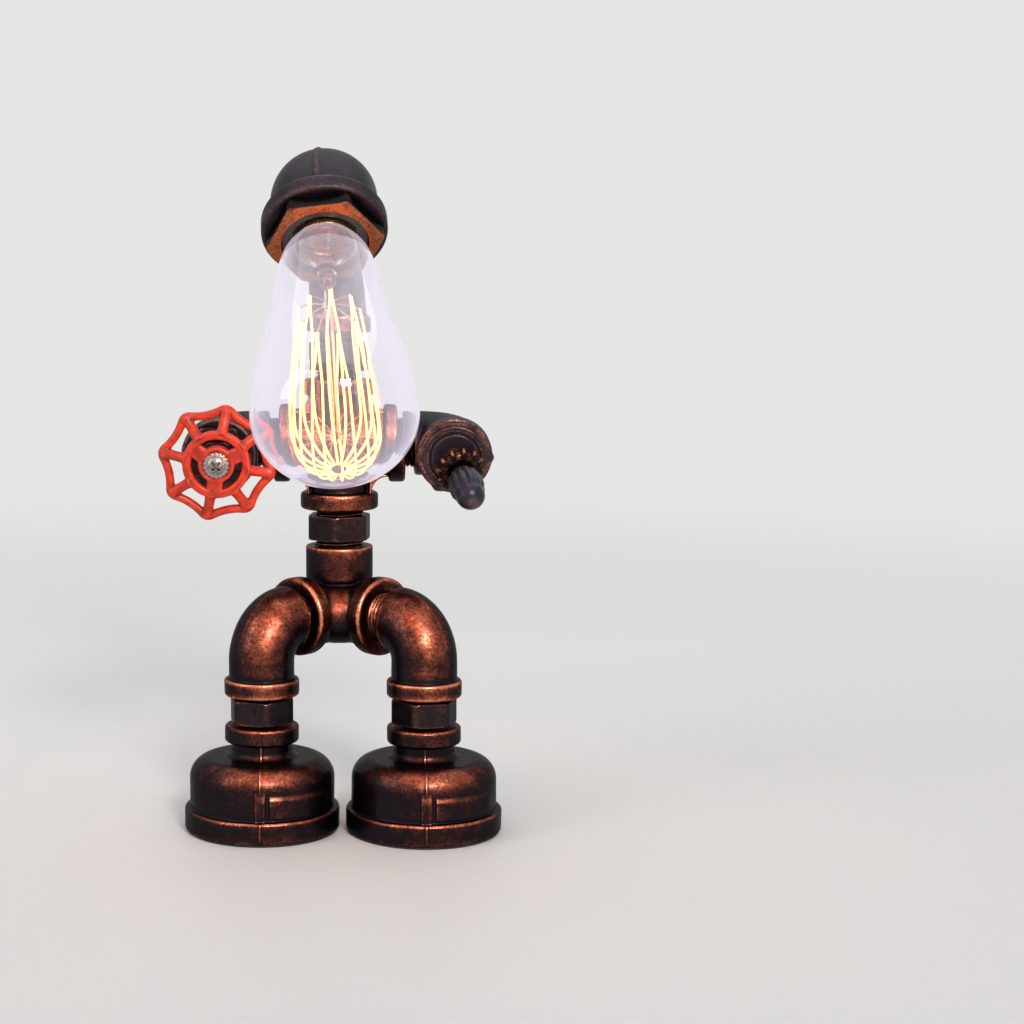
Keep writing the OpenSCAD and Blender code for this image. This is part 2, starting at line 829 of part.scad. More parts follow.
// Reducing elbow: mouth out along -Y, small port down -Z
module head_casting() {
    thread_bore = mouth_thread_d / 2 + thread_gap;
    room_back = holder_front - holder_l - 1;
    step_at = holder_front - holder_front_l - 1;
    behind = 3;
    color("#544643")
        on_head()
            difference() {
                union() {
                    head_shell();
                    head_seam();
                    rotate([90, 0, 0]) port(head_reach, mouth_band_d, mouth_band_w);
                    mirror([0, 0, 1]) cylinder(r = tube_r, h = head_small_reach - 1);
                    mirror([0, 0, 1]) port(head_small_reach, band_d, band_w);
                }
                rotate([90, 0, 0]) {
                    translate([0, 0, head_reach - mouth_depth]) cylinder(r = thread_bore, h = mouth_depth + eps);
                    translate([0, 0, step_at]) cylinder(d = holder_d + 2 * holder_gap, h = head_reach - step_at);
                    translate([0, 0, room_back])
                        cylinder(d = holder_back_d + 2 * holder_gap, h = head_reach - room_back);
                    translate([0, 0, -behind]) cylinder(r = way_r + 1, h = room_back + behind + 1);
                }
                mirror([0, 0, 1]) {
                    translate([0, 0, head_small_reach - port_depth]) cylinder(r = port_r, h = port_depth + eps);
                    translate([0, 0, -behind]) cylinder(r = way_r, h = head_small_reach);
                }
            }
}

// Hexagon bushing that holds the lamp holder in the mouth
module mouth_bushing() {
    thread_l = mouth_depth - 1;
    bevel_d = mouth_hex * hex_ratio;
    bevel_wide = 12;
    bevel_in = 1;
    color("#8a5a3c")
        on_mouth()
            difference() {
                union() {
                    translate([0, 0, head_reach + seat_gap])
                        intersection() {
                            cylinder(d = bevel_d, h = mouth_hex_out - seat_gap, $fn = 6);
                            translate([0, 0, -1]) cylinder(d1 = bevel_d + bevel_wide, d2 = bevel_d - bevel_in, h = mouth_hex_out + 1);
                        }
                    translate([0, 0, head_reach - thread_l]) cylinder(d = mouth_thread_d, h = thread_l + 1);
                }
                translate([0, 0, head_reach - thread_l - 1]) cylinder(d = mouth_bore_d, h = thread_l + mouth_hex_out + 2);
            }
}

module clamp_ring() {
    inner_d = shell_d + 2 * shell_t + 0.6;
    color("#161616")
        on_mouth() translate([0, 0, holder_front - clamp_ring_t])
            difference() {
                cylinder(d = holder_d, h = clamp_ring_t);
                translate([0, 0, -1]) cylinder(d = inner_d, h = clamp_ring_t + 2);
            }
}

// Insulating body of the lamp holder
module lamp_holder() {
    front = holder_front - clamp_ring_t - seat_gap;
    back = holder_front - holder_l;
    bore_d = shell_d + 2 * shell_t + 0.3;
    floor_z = cap_rim - cap_l - insulator_h - tip_h - 2.4;
    color("#161616")
        on_mouth()
            difference() {
                union() {
                    translate([0, 0, front - holder_front_l + clamp_ring_t]) cylinder(d = holder_d, h = holder_front_l - clamp_ring_t);
                    translate([0, 0, back]) cylinder(d = holder_back_d, h = front - back);
                }
                translate([0, 0, floor_z]) cylinder(d = bore_d, h = front - floor_z + 1);
                translate([0, 0, back - 1]) cylinder(d = lead_d + 0.4, h = floor_z - back + 2);
            }
}

module screw_shell() {
    front = holder_front - clamp_ring_t - seat_gap;
    color("#b08a4a")
        on_mouth() translate([0, 0, front - shell_l])
            difference() {
                cylinder(d = shell_d + 2 * shell_t, h = shell_l);
                translate([0, 0, -1]) cylinder(d = shell_d, h = shell_l + 2);
            }
}

// Springy tongue that meets the bulb's tip
module centre_contact() {
    tip_z = cap_rim - cap_l - insulator_h - tip_h;
    tongue_w = 5;
    tongue_t = 0.6;
    tongue_l = 11;
    foot_z = tip_z - 2.2;
    color("#c09a52")
        on_mouth() {
            translate([-tongue_l / 2, -tongue_w / 2, tip_z - tongue_t - 0.1]) cube([tongue_l, tongue_w, tongue_t]);
            translate([-tongue_l / 2, -tongue_w / 2, foot_z]) cube([tongue_t, tongue_w, tip_z - foot_z - 0.2]);
        }
}

// ---- Bulb ----
// Outline of the glass: half of an ellipse at the end, then a long taper to the neck
neck_r = cap_d / 2 - 0.5;
neck_flare = 5.2;
flare_rate = 16;
taper = [1.1, -1.61, 3.92, -2.41];

function bulb_taper(z) =
    let (t = (z - cap_rim) / (wide_z - cap_rim),
         flare = neck_flare * (1 - exp(-t * flare_rate)),
         rest = bulb_d / 2 - neck_r - neck_flare)
    neck_r + flare + rest * (taper[0] * t + taper[1] * t * t + taper[2] * pow(t, 3) + taper[3] * pow(t, 4));

taper_steps = 22;
end_steps = 14;

module bulb_outline(wall) {
    wide_r = bulb_d / 2 - wall;
    end_l = bulb_end - wall;
    polygon(concat(
        [[0, cap_rim]],
        [for (i = [0:taper_steps - 1])
            let (z = cap_rim + (wide_z - cap_rim) * pow(i / taper_steps, 1.4))
            [bulb_taper(z) - wall, z]],
        [for (i = [0:end_steps])
            let (a = 90 * i / end_steps)
            [wide_r * cos(a), wide_z + end_l * sin(a)]]
    ));
}

module bulb_glass() {
    color([0.9, 0.9, 0.93, 0.35])
        on_mouth()
            rotate_extrude()
                difference() {
                    bulb_outline(0);
                    bulb_outline(glass_t);
                    translate([0, cap_rim - 1]) square([neck_r - glass_t, 3]);
                }
}

module bulb_cap() {
    wall = 0.4;
    color("#b9b4a8")
        on_mouth() translate([0, 0, cap_rim - cap_l])
            difference() {
                cylinder(d = cap_d, h = cap_l);
                translate([0, 0, wall]) cylinder(d = cap_d - 2 * wall, h = cap_l);
                translate([0, 0, -1]) cylinder(d = cap_hole_d, h = wall + 2);
            }
}

module cap_insulator() {
    color("#141414")
        on_mouth() translate([0, 0, cap_rim - cap_l - insulator_h])
            cylinder(d1 = insulator_end_d, d2 = insulator_d, h = insulator_h);
}

module cap_tip() {
    tip_z = cap_rim - cap_l - insulator_h;
    color("#c4c4c4")
        on_mouth() translate([0, 0, tip_z - tip_h]) cylinder(d1 = tip_end_d, d2 = tip_d, h = tip_h);
}

// Flared glass stem and its rod, whose two buttons carry the wires
module glass_stem() {
    flare_l = 12;
    flare_r = neck_r - glass_t - seat_gap;
    pinch_r = 4;
    color([0.88, 0.9, 0.92, 0.5])
        on_mouth() translate([0, 0, cap_rim]) {
            translate([0, 0, seat_gap]) cylinder(r1 = flare_r, r2 = pinch_r, h = flare_l);
            translate([0, 0, flare_l - 1]) cylinder(d = rod_d, h = lower_button_at + 1 - flare_l);
            translate([0, 0, upper_button_at]) sphere(d = button_d);
            translate([0, 0, lower_button_at]) sphere(d = button_d);
        }
}

cage_top_z = cap_rim + cage_top_at;
cage_wide_z = cap_rim + cage_wide_at;
close_arc = 76;

// One strand as radius and height: it swells to the widest place, then turns in like a bowl
strand_line = concat(
    [for (k = [0:4])
        [cage_top_r + (cage_wide_r - cage_top_r) * sin(18 * k), cage_top_z + (cage_wide_z - cage_top_z) * k / 5]],
    [for (k = [0:5])
        [cage_wide_r * cos(close_arc * k / 5), cage_wide_z + cage_close * sin(close_arc * k / 5)]]
);

module rod_between(a, b, r, sides = 8) {
    d = b - a;
    len = norm(d);
    translate(a)
        rotate([0, acos(d[2] / len), atan2(d[1], d[0])])
            cylinder(r = r, h = len, $fn = sides);
}

// Wires that hold the strands at both ends of the cage, each a hair short of its strand
module filament_hooks() {
    hook_r = 0.35;
    short = hook_r + strand_d / 2 + 0.1;
    button_r = button_d / 2 + 0.1;
    upper_z = cap_rim + upper_button_at;
    lower_z = cap_rim + lower_button_at;
    lower_r = cage_wide_r * sqrt(1 - pow((lower_z - cage_wide_z) / cage_close, 2));
    color("#8d8d8d")
        on_mouth()
            for (i = [0:strands - 1])
                rotate([0, 0, 360 * i / strands]) {
                    rod_between([button_r, 0, upper_z], [cage_top_r - short, 0, cage_top_z], hook_r);
                    rod_between([button_r, 0, lower_z], [lower_r - short, 0, lower_z], hook_r);
                }
}

module filament() {
    r = strand_d / 2;
    color("#ffb347")
        on_mouth()
            for (i = [0:strands - 1])
                rotate([0, 0, 360 * i / strands])
                    for (k = [1:len(strand_line) - 1]) {
                        from = strand_line[k - 1];
                        to = strand_line[k];
                        rod_between([from[0], 0, from[1]], [to[0], 0, to[1]], r, 6);
                    }
}

// ---- Valve arm ----
module valve_elbow() {
    color("#5e4338") on_hand(-1) street_elbow(left_arm_thread);
}

// Hollow bonnet that closes the elbow and holds the dimmer
module valve_bonnet() {
    color("#3f332f")
        on_hand(-1)
            difference() {
                union() {
                    translate([0, 0, elbow_reach + seat_gap])
                        cylinder(d = nipple_hex * hex_ratio, h = bonnet_hex_t, $fn = 6);
                    translate([0, 0, elbow_reach - thread_in]) cylinder(r = thread_r, h = thread_in + 1);
                }
                translate([0, 0, insert_back - 1]) cylinder(d = room_d, h = room_l);
                translate([0, 0, elbow_reach - 1]) cylinder(d = stem_d + 2 * shaft_gap, h = bonnet_hex_t + 3);
            }
}

module packing_nut() {
    color("#4a3a33")
        on_hand(-1) translate([0, 0, packing_z + seat_gap])
            difference() {
                cylinder(d = packing_hex * hex_ratio, h = packing_h, $fn = 6);
                translate([0, 0, -1]) cylinder(d = stem_d + 2 * shaft_gap, h = packing_h + 2);
            }
}

// Rotary dimmer inside the valve arm
module dimmer() {
    color("#20242a")
        on_hand(-1) translate([0, 0, insert_back])
            difference() {
                cylinder(d = insert_d, h = insert_l);
                translate([0, 0, insert_l - 6]) cylinder(d = stem_d + 2 * shaft_gap, h = 7);
            }
}

module wheel_stem() {
    stem_back = insert_front - 5.5;
    color("#6d6a66")
        on_hand(-1)
            difference() {
                translate([0, 0, stem_back]) cylinder(d = stem_d, h = hub_front - 0.3 - stem_back);
                translate([0, 0, hub_front - screw_l - 0.6]) cylinder(d = screw_d + 0.2, h = screw_l + 1);
            }
}

// ---- Handwheel ----
// One arc of the rim's round bar
module rim_arc(r, middle, arc, bar_d) {
    rotate_extrude(angle = 2 * arc, start = middle - arc) translate([r, 0]) circle(d = bar_d);
}

// The bars in the dips are a hair slimmer and run a little way into the lobes
module wheel_rim() {
    overlap_l = 0.5;
    overlap = overlap_l / dip_r * 180 / PI;
    for (i = [0:lobes - 1])
        rotate([0, 0, lobe_turn + 2 * half_pitch * i]) {
            translate([lobe_at, 0, 0]) rim_arc(lobe_r, 0, lobe_arc, rim_bar_d);
            rotate([0, 0, half_pitch])
                translate([dip_at, 0, 0]) rim_arc(dip_r, 180, dip_arc + overlap, rim_bar_d - 2 * step);
        }
}

// Spokes that fall from the ring to a round knuckle on each lobe
module wheel_spokes() {
    inner = [ring_d / 2 - ring_w / 2, 0, wheel_rise];
    knuckle_set_back = 1.2;
    outer = [rim_tip_r - knuckle_set_back, 0, 0];
    for (i = [0:lobes - 1])
        rotate([0, 0, lobe_turn + 2 * half_pitch * i])
            union() {
                rod_between(inner, outer, spoke_d / 2, 48);
                translate([rim_tip_r - knuckle_set_back, 0, 0]) sphere(d = spoke_d + 3 * step);
            }
}

module wheel_ring() {
    edge = 0.7;
    outer_r = ring_d / 2;
    inner_r = outer_r - ring_w;
    half_t = ring_t / 2;
    translate([0, 0, wheel_rise])
        rotate_extrude()
            polygon([
                [inner_r, edge - half_t], [inner_r + edge, -half_t], [outer_r - edge, -half_t],
                [outer_r, edge - half_t], [outer_r, half_t - edge], [outer_r - edge, half_t],
                [inner_r + edge, half_t], [inner_r, half_t - edge]
            ]);
}

module wheel_webs() {
    for (i = [0:webs - 1])
        rotate([0, 0, web_turn + 360 / webs * i])
            translate([0, -web_w / 2, wheel_rise - web_t / 2])
                cube([ring_d / 2 - ring_w / 2, web_w, web_t]);
}

module handwheel() {
    color("#d4452c")
        on_hand(-1) translate([0, 0, rim_z])
            difference() {
                union() {
                    wheel_rim();
                    wheel_spokes();
                    wheel_ring();
                    wheel_webs();
                    translate([0, 0, hub_back - rim_z]) cylinder(d = hub_d, h = hub_front - hub_back);
                }
                translate([0, 0, hub_back - rim_z - 1]) cylinder(d = stem_d + 2 * shaft_gap, h = hub_front - hub_back + 2);
            }
}

module tooth_washer() {
    tooth = PI * washer_d / washer_teeth / 2;
    color("#c9c9c9")
        on_hand(-1) translate([0, 0, washer_z])
            difference() {
                cylinder(d = washer_d, h = washer_t);
                translate([0, 0, -1]) cylinder(d = screw_d + 0.4, h = washer_t + 2);
                for (i = [0:washer_teeth - 1])
                    rotate([0, 0, 360 * i / washer_teeth])
                        translate([washer_d / 2 - tooth / 2, -tooth / 2, -1]) cube([tooth, tooth, washer_t + 2]);
            }
}

// Pan-head screw with a cross recess
module wheel_screw() {
    head_z = washer_z + washer_t;
    recess = [0.9, 4.4, 1.6];
    dome = screw_head_d * 0.9;
    color("#d6d6d6")
        on_hand(-1)
            difference() {
                union() {
                    translate([0, 0, head_z])
                        intersection() {
                            cylinder(d = screw_head_d, h = screw_head_h);
                            translate([0, 0, screw_head_h - dome]) sphere(r = dome);
                        }
                    translate([0, 0, head_z - screw_l]) cylinder(d = screw_d, h = screw_l + 0.5);
                }
                for (turn = [45, 135])
                    rotate([0, 0, turn])
                        translate([-recess[0] / 2, -recess[1] / 2, head_z + screw_head_h - recess[2]])
                            cube(recess);
            }
}

// ---- Switch arm ----
module switch_elbow() {
    color("#54403a") on_hand(1) rotate([0, 0, 180]) street_elbow(right_arm_thread);
}

// Hexagon plug with a stepped collar and a seat for the lever's ball
module switch_plug() {
    seat_r = ball_d / 2 + ball_gap;
    color("#4d4340")
        on_hand(1)
            difference() {
                union() {
                    translate([0, 0, elbow_reach + seat_gap])
                        cylinder(d = plug_hex * hex_ratio, h = plug_hex_t, $fn = 6);
                    translate([0, 0, elbow_reach - thread_in]) cylinder(r = thread_r, h = thread_in + 1);
                    translate([0, 0, collar_z - 1]) cylinder(d = collar_d, h = collar_h + 1);
                    translate([0, 0, collar_z]) cylinder(d = mouth_ring_d, h = collar_h + step_h);
                }
                translate([0, 0, insert_back - 1]) cylinder(d = room_d, h = room_l);
                translate([0, 0, elbow_reach - 1]) cylinder(r = seat_r, h = pivot_z - elbow_reach + 1);
                translate([0, 0, pivot_z]) cylinder(r1 = seat_r, r2 = seat_r + 3, h = 4);
            }
}

module switch_body() {
    color("#20242a")
        on_hand(1) translate([0, 0, insert_back]) cylinder(d = insert_d, h = insert_l);
}

module switch_lever() {
    color("#b9b9b9")
        on_lever() {
            sphere(d = ball_d);
            cylinder(d = lever_d, h = lever_l);
        }
}

// Scalloped collar at the foot of the grip
module lever_rosette() {
    scallop_r = rosette_d * PI / scallops * 0.32;
    rosette_r = rosette_d / 2;
    bore_d = lever_d + 0.2;
    color("#a8623f")
        on_lever() translate([0, 0, rosette_at])
            difference() {
                intersection() {
                    cylinder(r = rosette_r, h = rosette_t);
                    translate([0, 0, -rosette_r * 0.9]) sphere(r = rosette_r * 1.32);
                }
                for (i = [0:scallops - 1])
                    rotate([0, 0, 360 * (i + 0.5) / scallops])
                        translate([rosette_r + scallop_r * 0.3, 0, -1]) cylinder(r = scallop_r, h = rosette_t + 2);
                translate([0, 0, -1]) cylinder(d = bore_d, h = rosette_t + 2);
            }
}

// Bullet-shaped grip, its flutes dying away at both ends
module lever_grip() {
    base_z = rosette_at + rosette_t + 0.1;
    foot_r = grip_foot_d / 2;
    grip_r = grip_d / 2;
    nose_r = grip_nose_d / 2;
    nose_z = grip_l - nose_r;
    shoulder = [foot_r + (grip_r - foot_r) * 0.75, base_z + (grip_wide_at - base_z) * 0.46];
    flute_at = grip_r + flute_d * 0.2;
    color("#4a4f5c")
        on_lever()
            difference() {
                rotate_extrude() {
                    polygon([
                        [0, base_z], [foot_r, base_z], shoulder, [grip_r, grip_wide_at],
                        [grip_r - 0.2, grip_wide_at + 4], [nose_r - 0.2, nose_z + 1.1], [0, nose_z + 1.1]
                    ]);
                    intersection() {
                        translate([0, nose_z]) circle(r = nose_r);
                        translate([0, nose_z]) square(nose_r + 1);
                    }
                }
                for (i = [0:flutes - 1])
                    rotate([0, 0, 360 * (i + 0.5) / flutes])
                        translate([flute_at, 0, base_z - 1]) cylinder(d = flute_d, h = grip_l);
                translate([0, 0, base_z - 1]) cylinder(d = lever_d + 0.2, h = lever_l + 1.5 - base_z);
            }
}

// ---- Inner leads ----
// Lead in a street elbow, from its port side round to its thread's end
module elbow_lead(from_z, bare) {
    translate([0, 0, bend_r]) cylinder(r = lead_r, h = from_z - bend_r);
    bend(bend_r, lead_r);
    translate([bend_r, 0, 0]) rotate([0, 90, 0]) cylinder(r = lead_r, h = bare + thread_in);
}

// From the grommet up the right leg, with branches to both arms and the neck
module torso_lead() {
    arm_end = cross_reach - thread_in - lead_gap;
    inlet_reach = foot_bore_d / 2 - 0.5;
    inlet_h = pad_t + inlet_z;
    neck_end = neck_z - neck_reach + thread_in;
    color("#2b2b2b") {
        on_leg(1) {
            translate([0, 0, inlet_h]) rotate([-90, 0, 0]) cylinder(r = lead_r, h = inlet_reach);
            translate([0, 0, inlet_h]) sphere(r = joint_r);
            translate([0, 0, inlet_h]) cylinder(r = lead_r, h = pelvis_z - bend_r - inlet_h);
            translate([0, 0, pelvis_z])
                rotate([0, 0, 90 + leg_spread]) rotate([180, 0, 0]) {
                    bend(bend_r, lead_r);
                    translate([bend_r, 0, 0]) rotate([0, 90, 0]) cylinder(r = lead_r, h = right_leg_d - bend_r);
                }
        }
        placed() {
            translate([0, 0, pelvis_z]) sphere(r = joint_r);
            translate([0, 0, pelvis_z]) cylinder(r = lead_r, h = neck_end - pelvis_z);
            translate([-arm_end, 0, cross_z]) rotate([0, 90, 0]) cylinder(r = lead_r, h = 2 * arm_end);
        }
    }
}

module valve_lead() {
    color("#2b2b2b") on_hand(-1) elbow_lead(insert_back - lead_gap, left_arm_thread);
}

module switch_lead() {
    color("#2b2b2b") on_hand(1) rotate([0, 0, 180]) elbow_lead(insert_back - lead_gap, right_arm_thread);
}

module neck_lead() {
    low = neck_reach - thread_in - lead_gap;
    lean_end = neck_reach + head_gap + thread_in;
    color("#2b2b2b")
        on_neck() {
            mirror([0, 0, 1]) cylinder(r = lead_r, h = low);
            sphere(r = joint_r);
            rotate([neck_lean, 0, 0]) cylinder(r = lead_r, h = lean_end);
        }
}

module head_lead() {
    start = head_small_reach - thread_in - lead_gap;
    holder_back = holder_front - holder_l;
    color("#2b2b2b")
        on_head() {
            mirror([0, 0, 1]) cylinder(r = lead_r, h = start);
            sphere(r = joint_r);
            rotate([90, 0, 0]) cylinder(r = lead_r, h = holder_back + 1);
        }
}

left_foot_pad();
right_foot_pad();
left_foot();
right_foot();
lead_grommet();
left_ankle_nipple();
right_ankle_nipple();
left_leg_elbow();
right_leg_elbow();
pelvis();
waist_nipple();
cross();
neck_nipple();
torso_lead();
neck_elbow();
head_nipple();
neck_lead();
head_casting();
mouth_bushing();
clamp_ring();
lamp_holder();
screw_shell();
centre_contact();
head_lead();
bulb_glass();
bulb_cap();
cap_insulator();
cap_tip();
glass_stem();
filament_hooks();
filament();
valve_elbow();
valve_bonnet();
packing_nut();
dimmer();
valve_lead();
wheel_stem();
handwheel();
tooth_washer();
wheel_screw();
switch_elbow();
switch_plug();
switch_body();
switch_lead();
switch_lever();
lever_rosette();
lever_grip();
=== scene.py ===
import json
import math
import bmesh
import bpy
import numpy as np
from mathutils import Matrix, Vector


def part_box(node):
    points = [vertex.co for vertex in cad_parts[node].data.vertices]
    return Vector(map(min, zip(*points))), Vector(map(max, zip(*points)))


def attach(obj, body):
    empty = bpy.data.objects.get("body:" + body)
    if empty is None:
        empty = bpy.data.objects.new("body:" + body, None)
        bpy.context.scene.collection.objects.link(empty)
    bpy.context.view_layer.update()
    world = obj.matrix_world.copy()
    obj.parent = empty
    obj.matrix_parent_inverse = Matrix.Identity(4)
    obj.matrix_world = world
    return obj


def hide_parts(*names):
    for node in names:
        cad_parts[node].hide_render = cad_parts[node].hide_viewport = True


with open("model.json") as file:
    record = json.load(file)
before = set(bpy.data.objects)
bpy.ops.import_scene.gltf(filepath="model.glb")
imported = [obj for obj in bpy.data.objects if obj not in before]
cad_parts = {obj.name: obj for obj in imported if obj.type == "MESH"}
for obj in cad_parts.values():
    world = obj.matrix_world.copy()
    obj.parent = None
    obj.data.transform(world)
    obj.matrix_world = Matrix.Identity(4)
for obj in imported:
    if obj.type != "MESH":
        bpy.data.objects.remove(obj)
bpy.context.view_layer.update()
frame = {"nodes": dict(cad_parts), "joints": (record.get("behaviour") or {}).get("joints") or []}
print("frame loaded")

mm = 0.001
fullTurn = 2 * math.pi
joints = {joint["name"]: joint for joint in frame["joints"]}


# places: a matrix for each part of the lamp, taken from the joints
def unit(vector):
    vector = np.asarray(vector, float)
    return vector / np.linalg.norm(vector)


def place(origin, zAxis, xAxis):
    z = unit(zAxis)
    x = np.asarray(xAxis, float)
    x = unit(x - z * x.dot(z))
    matrix = np.eye(4)
    matrix[:3, 0], matrix[:3, 1], matrix[:3, 2], matrix[:3, 3] = x, np.cross(z, x), z, origin
    return matrix


def shifted(matrix, x=0.0, y=0.0, z=0.0):
    # the same axes, with the origin moved along them by millimetres
    result = matrix.copy()
    result[:3, 3] += matrix[:3, :3] @ np.array([x, y, z]) * mm
    return result


def turnedZ(matrix, degrees):
    angle = math.radians(degrees)
    spin = np.eye(4)
    spin[:2, :2] = [[math.cos(angle), -math.sin(angle)], [math.sin(angle), math.cos(angle)]]
    return matrix @ spin


neckPoint = np.array(joints["neck_swivel"]["pos_m"])
headPoint = np.array(joints["head_turn"]["pos_m"])
leanAxis = unit(joints["head_turn"]["axis"])
mouthAxis = unit(joints["bulb_unscrew"]["axis"])
handAxis = unit(joints["handwheel_turn"]["axis"])
leverAxis = unit(joints["switch_throw"]["axis"])
sideways = np.array([1.0, 0.0, 0.0])
upwards = np.array([0.0, 0.0, 1.0])

layout = {
    "pelvisHeight": 89.4, "waistHeight": 126.3, "neckNippleHeight": 201.7, "ankleHeight": 51.9,
    "neckReach": 22.0, "headGap": 5.9, "rimOut": 45.6, "pivotOut": 36.1, "leverLean": 28.0,
}
torsoPoint = np.array([neckPoint[0], neckPoint[1], 0.0])
torso = place(torsoPoint, upwards, sideways)
leanPlace = place(neckPoint, leanAxis, np.cross(leanAxis, mouthAxis))
mouth = place(headPoint, mouthAxis, np.cross(leanAxis, mouthAxis))
leftHand = shifted(place(joints["handwheel_turn"]["pos_m"], handAxis, sideways), z=-layout["rimOut"])
rightHand = shifted(place(joints["switch_throw"]["pos_m"], handAxis, sideways), z=-layout["pivotOut"])
leverTilt = math.radians(layout["leverLean"])
leverOut = handAxis * math.cos(leverTilt) - np.cross(handAxis, leverAxis) * math.sin(leverTilt)
lever = place(joints["switch_throw"]["pos_m"], leverOut, leverAxis)


def soleCentre(node):
    low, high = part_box(node)
    return np.array([(low.x + high.x) / 2, (low.y + high.y) / 2, 0.0])


legs = {side: place(soleCentre(side + "_foot_pad"), upwards, sideways) for side in ("left", "right")}


# mesh helpers
def smoothStep(value, low, high):
    # from 0 at low to 1 at high with level ends: share squared times 3 less twice the share
    share = np.clip((value - low) / (high - low), 0, 1)
    return share * share * (3 - 2 * share)


def smoothFall(value, low, high):
    return 1 - smoothStep(value, low, high)


def fullCircle(count):
    return np.linspace(0, fullTurn, count, endpoint=False)[None, :]


def aroundZ(r, angle, z):
    return np.stack([r * np.cos(angle), r * np.sin(angle), z], -1)


def rounded(corners, spacing=1.0, closed=True, arcPoints=6):
    # a line through corners (x, y, radius), each turned into an arc, with long stretches cut to the spacing
    corners = [np.array(corner, float) for corner in corners]
    count = len(corners)
    line = []
    for index, corner in enumerate(corners):
        point, radius = corner[:2], corner[2]
        if radius == 0 or (not closed and index in (0, count - 1)):
            line.append(point[None])
            continue
        before, after = corners[index - 1][:2], corners[(index + 1) % count][:2]
        u, w = unit(before - point), unit(after - point)
        half = math.acos(np.clip(u.dot(w), -1, 1)) / 2
        reach = min(radius / math.tan(half), 0.49 * np.linalg.norm(before - point),
                    0.49 * np.linalg.norm(after - point))
        centre = point + unit(u + w) * reach / math.cos(half)
        share = np.linspace(0, 1, max(arcPoints, int(reach * 2.5) + 3))[:, None]
        spoke = (point + u * reach - centre) * (1 - share) + (point + w * reach - centre) * share
        line.append(centre + spoke / np.linalg.norm(spoke, axis=1, keepdims=True) * reach * math.tan(half))
    line = np.vstack(line)
    ends = np.vstack([line[1:], line[:1]]) if closed else line[1:]
    starts = line if closed else line[:-1]
    pieces = []
    for start, end in zip(starts, ends):
        steps = max(1, int(math.ceil(np.linalg.norm(end - start) / spacing)))
        pieces.append(start + (end - start) * (np.arange(steps) / steps)[:, None])
    if not closed:
        pieces.append(line[-1:])
    return np.vstack(pieces)


def lumps(points, size, seed):
    # smooth unevenness from -1 to 1: six crossed sine waves of about the given size
    random = np.random.default_rng(seed)
    waves = random.normal(size=(6, 3)) * fullTurn / size
    phases = random.uniform(0, fullTurn, 6)
    return np.sin(points @ waves.T + phases).mean(axis=-1) * 1.6


def turned(profile, count=96, bulge=None, angles=None):
    # every profile point (r, z) goes round the Z axis; bulge(angle, r, z) is added to r
    angle = fullCircle(count) if angles is None else angles[None, :]
    r = profile[:, :1] + 0 * angle
    z = profile[:, 1:2] + 0 * angle
    if bulge is not None:
        r = r + bulge(angle + 0 * r, r, z)
    return aroundZ(r, angle, z)


def swept(profile, path, count=96, bulge=None):
    # every profile point (s, r) goes round the path at its place s; path gives centre, up and side vectors
    angle = fullCircle(count)
    centre, up, side = path(profile[:, 0])
    r = profile[:, 1:2] + 0 * angle
    if bulge is not None:
        r = r + bulge(angle + 0 * r, profile[:, :1] + 0 * angle, r)
    ring = np.cos(angle)[..., None] * up[:, None] + np.sin(angle)[..., None] * side[:, None]
    return centre[:, None] + r[..., None] * ring


def barAlong(points, radii, count=16, closed=False):
    # a round bar along points, with a radius at each; its rings stand square to the line
    points = np.asarray(points, float)
    radii = np.broadcast_to(np.asarray(radii, float), len(points))
    if closed:
        along = np.roll(points, -1, 0) - np.roll(points, 1, 0)
    else:
        along = np.gradient(points, axis=0)
    along /= np.linalg.norm(along, axis=1, keepdims=True)
    level = closed or abs(along[len(along) // 2, 2]) < 0.9
    side = np.cross(along, [[0.0, 0.0, 1.0]] if level else [[1.0, 0.0, 0.0]])
    side /= np.linalg.norm(side, axis=1, keepdims=True)
    up = np.cross(side, along)
    angle = fullCircle(count)[..., None]
    return points[:, None] + radii[:, None,
                                   None] * (np.cos(angle) * up[:, None] + np.sin(angle) * side[:, None])


def capped(rings):
    # the same rings with a point at the middle of either end
    first, last = rings[:1].mean(1, keepdims=True), rings[-1:].mean(1, keepdims=True)
    count = rings.shape[1]
    return np.concatenate([np.repeat(first, count, 1), rings, np.repeat(last, count, 1)])


def gridFaces(rows, columns, closeRows):
    index = np.arange(rows * columns).reshape(rows, columns)
    index = np.hstack([index, index[:, :1]])
    if closeRows:
        index = np.vstack([index, index[:1]])
    corners = [index[:-1, :-1], index[:-1, 1:], index[1:, 1:], index[1:, :-1]]
    return np.stack(corners, -1).reshape(-1, 4)


def shellVolume(points, faces):
    a, b, c, d = (points[faces[:, k]] for k in range(4))
    return np.einsum("ij,ij->", a, np.cross(b, c)) + np.einsum("ij,ij->", a, np.cross(c, d))


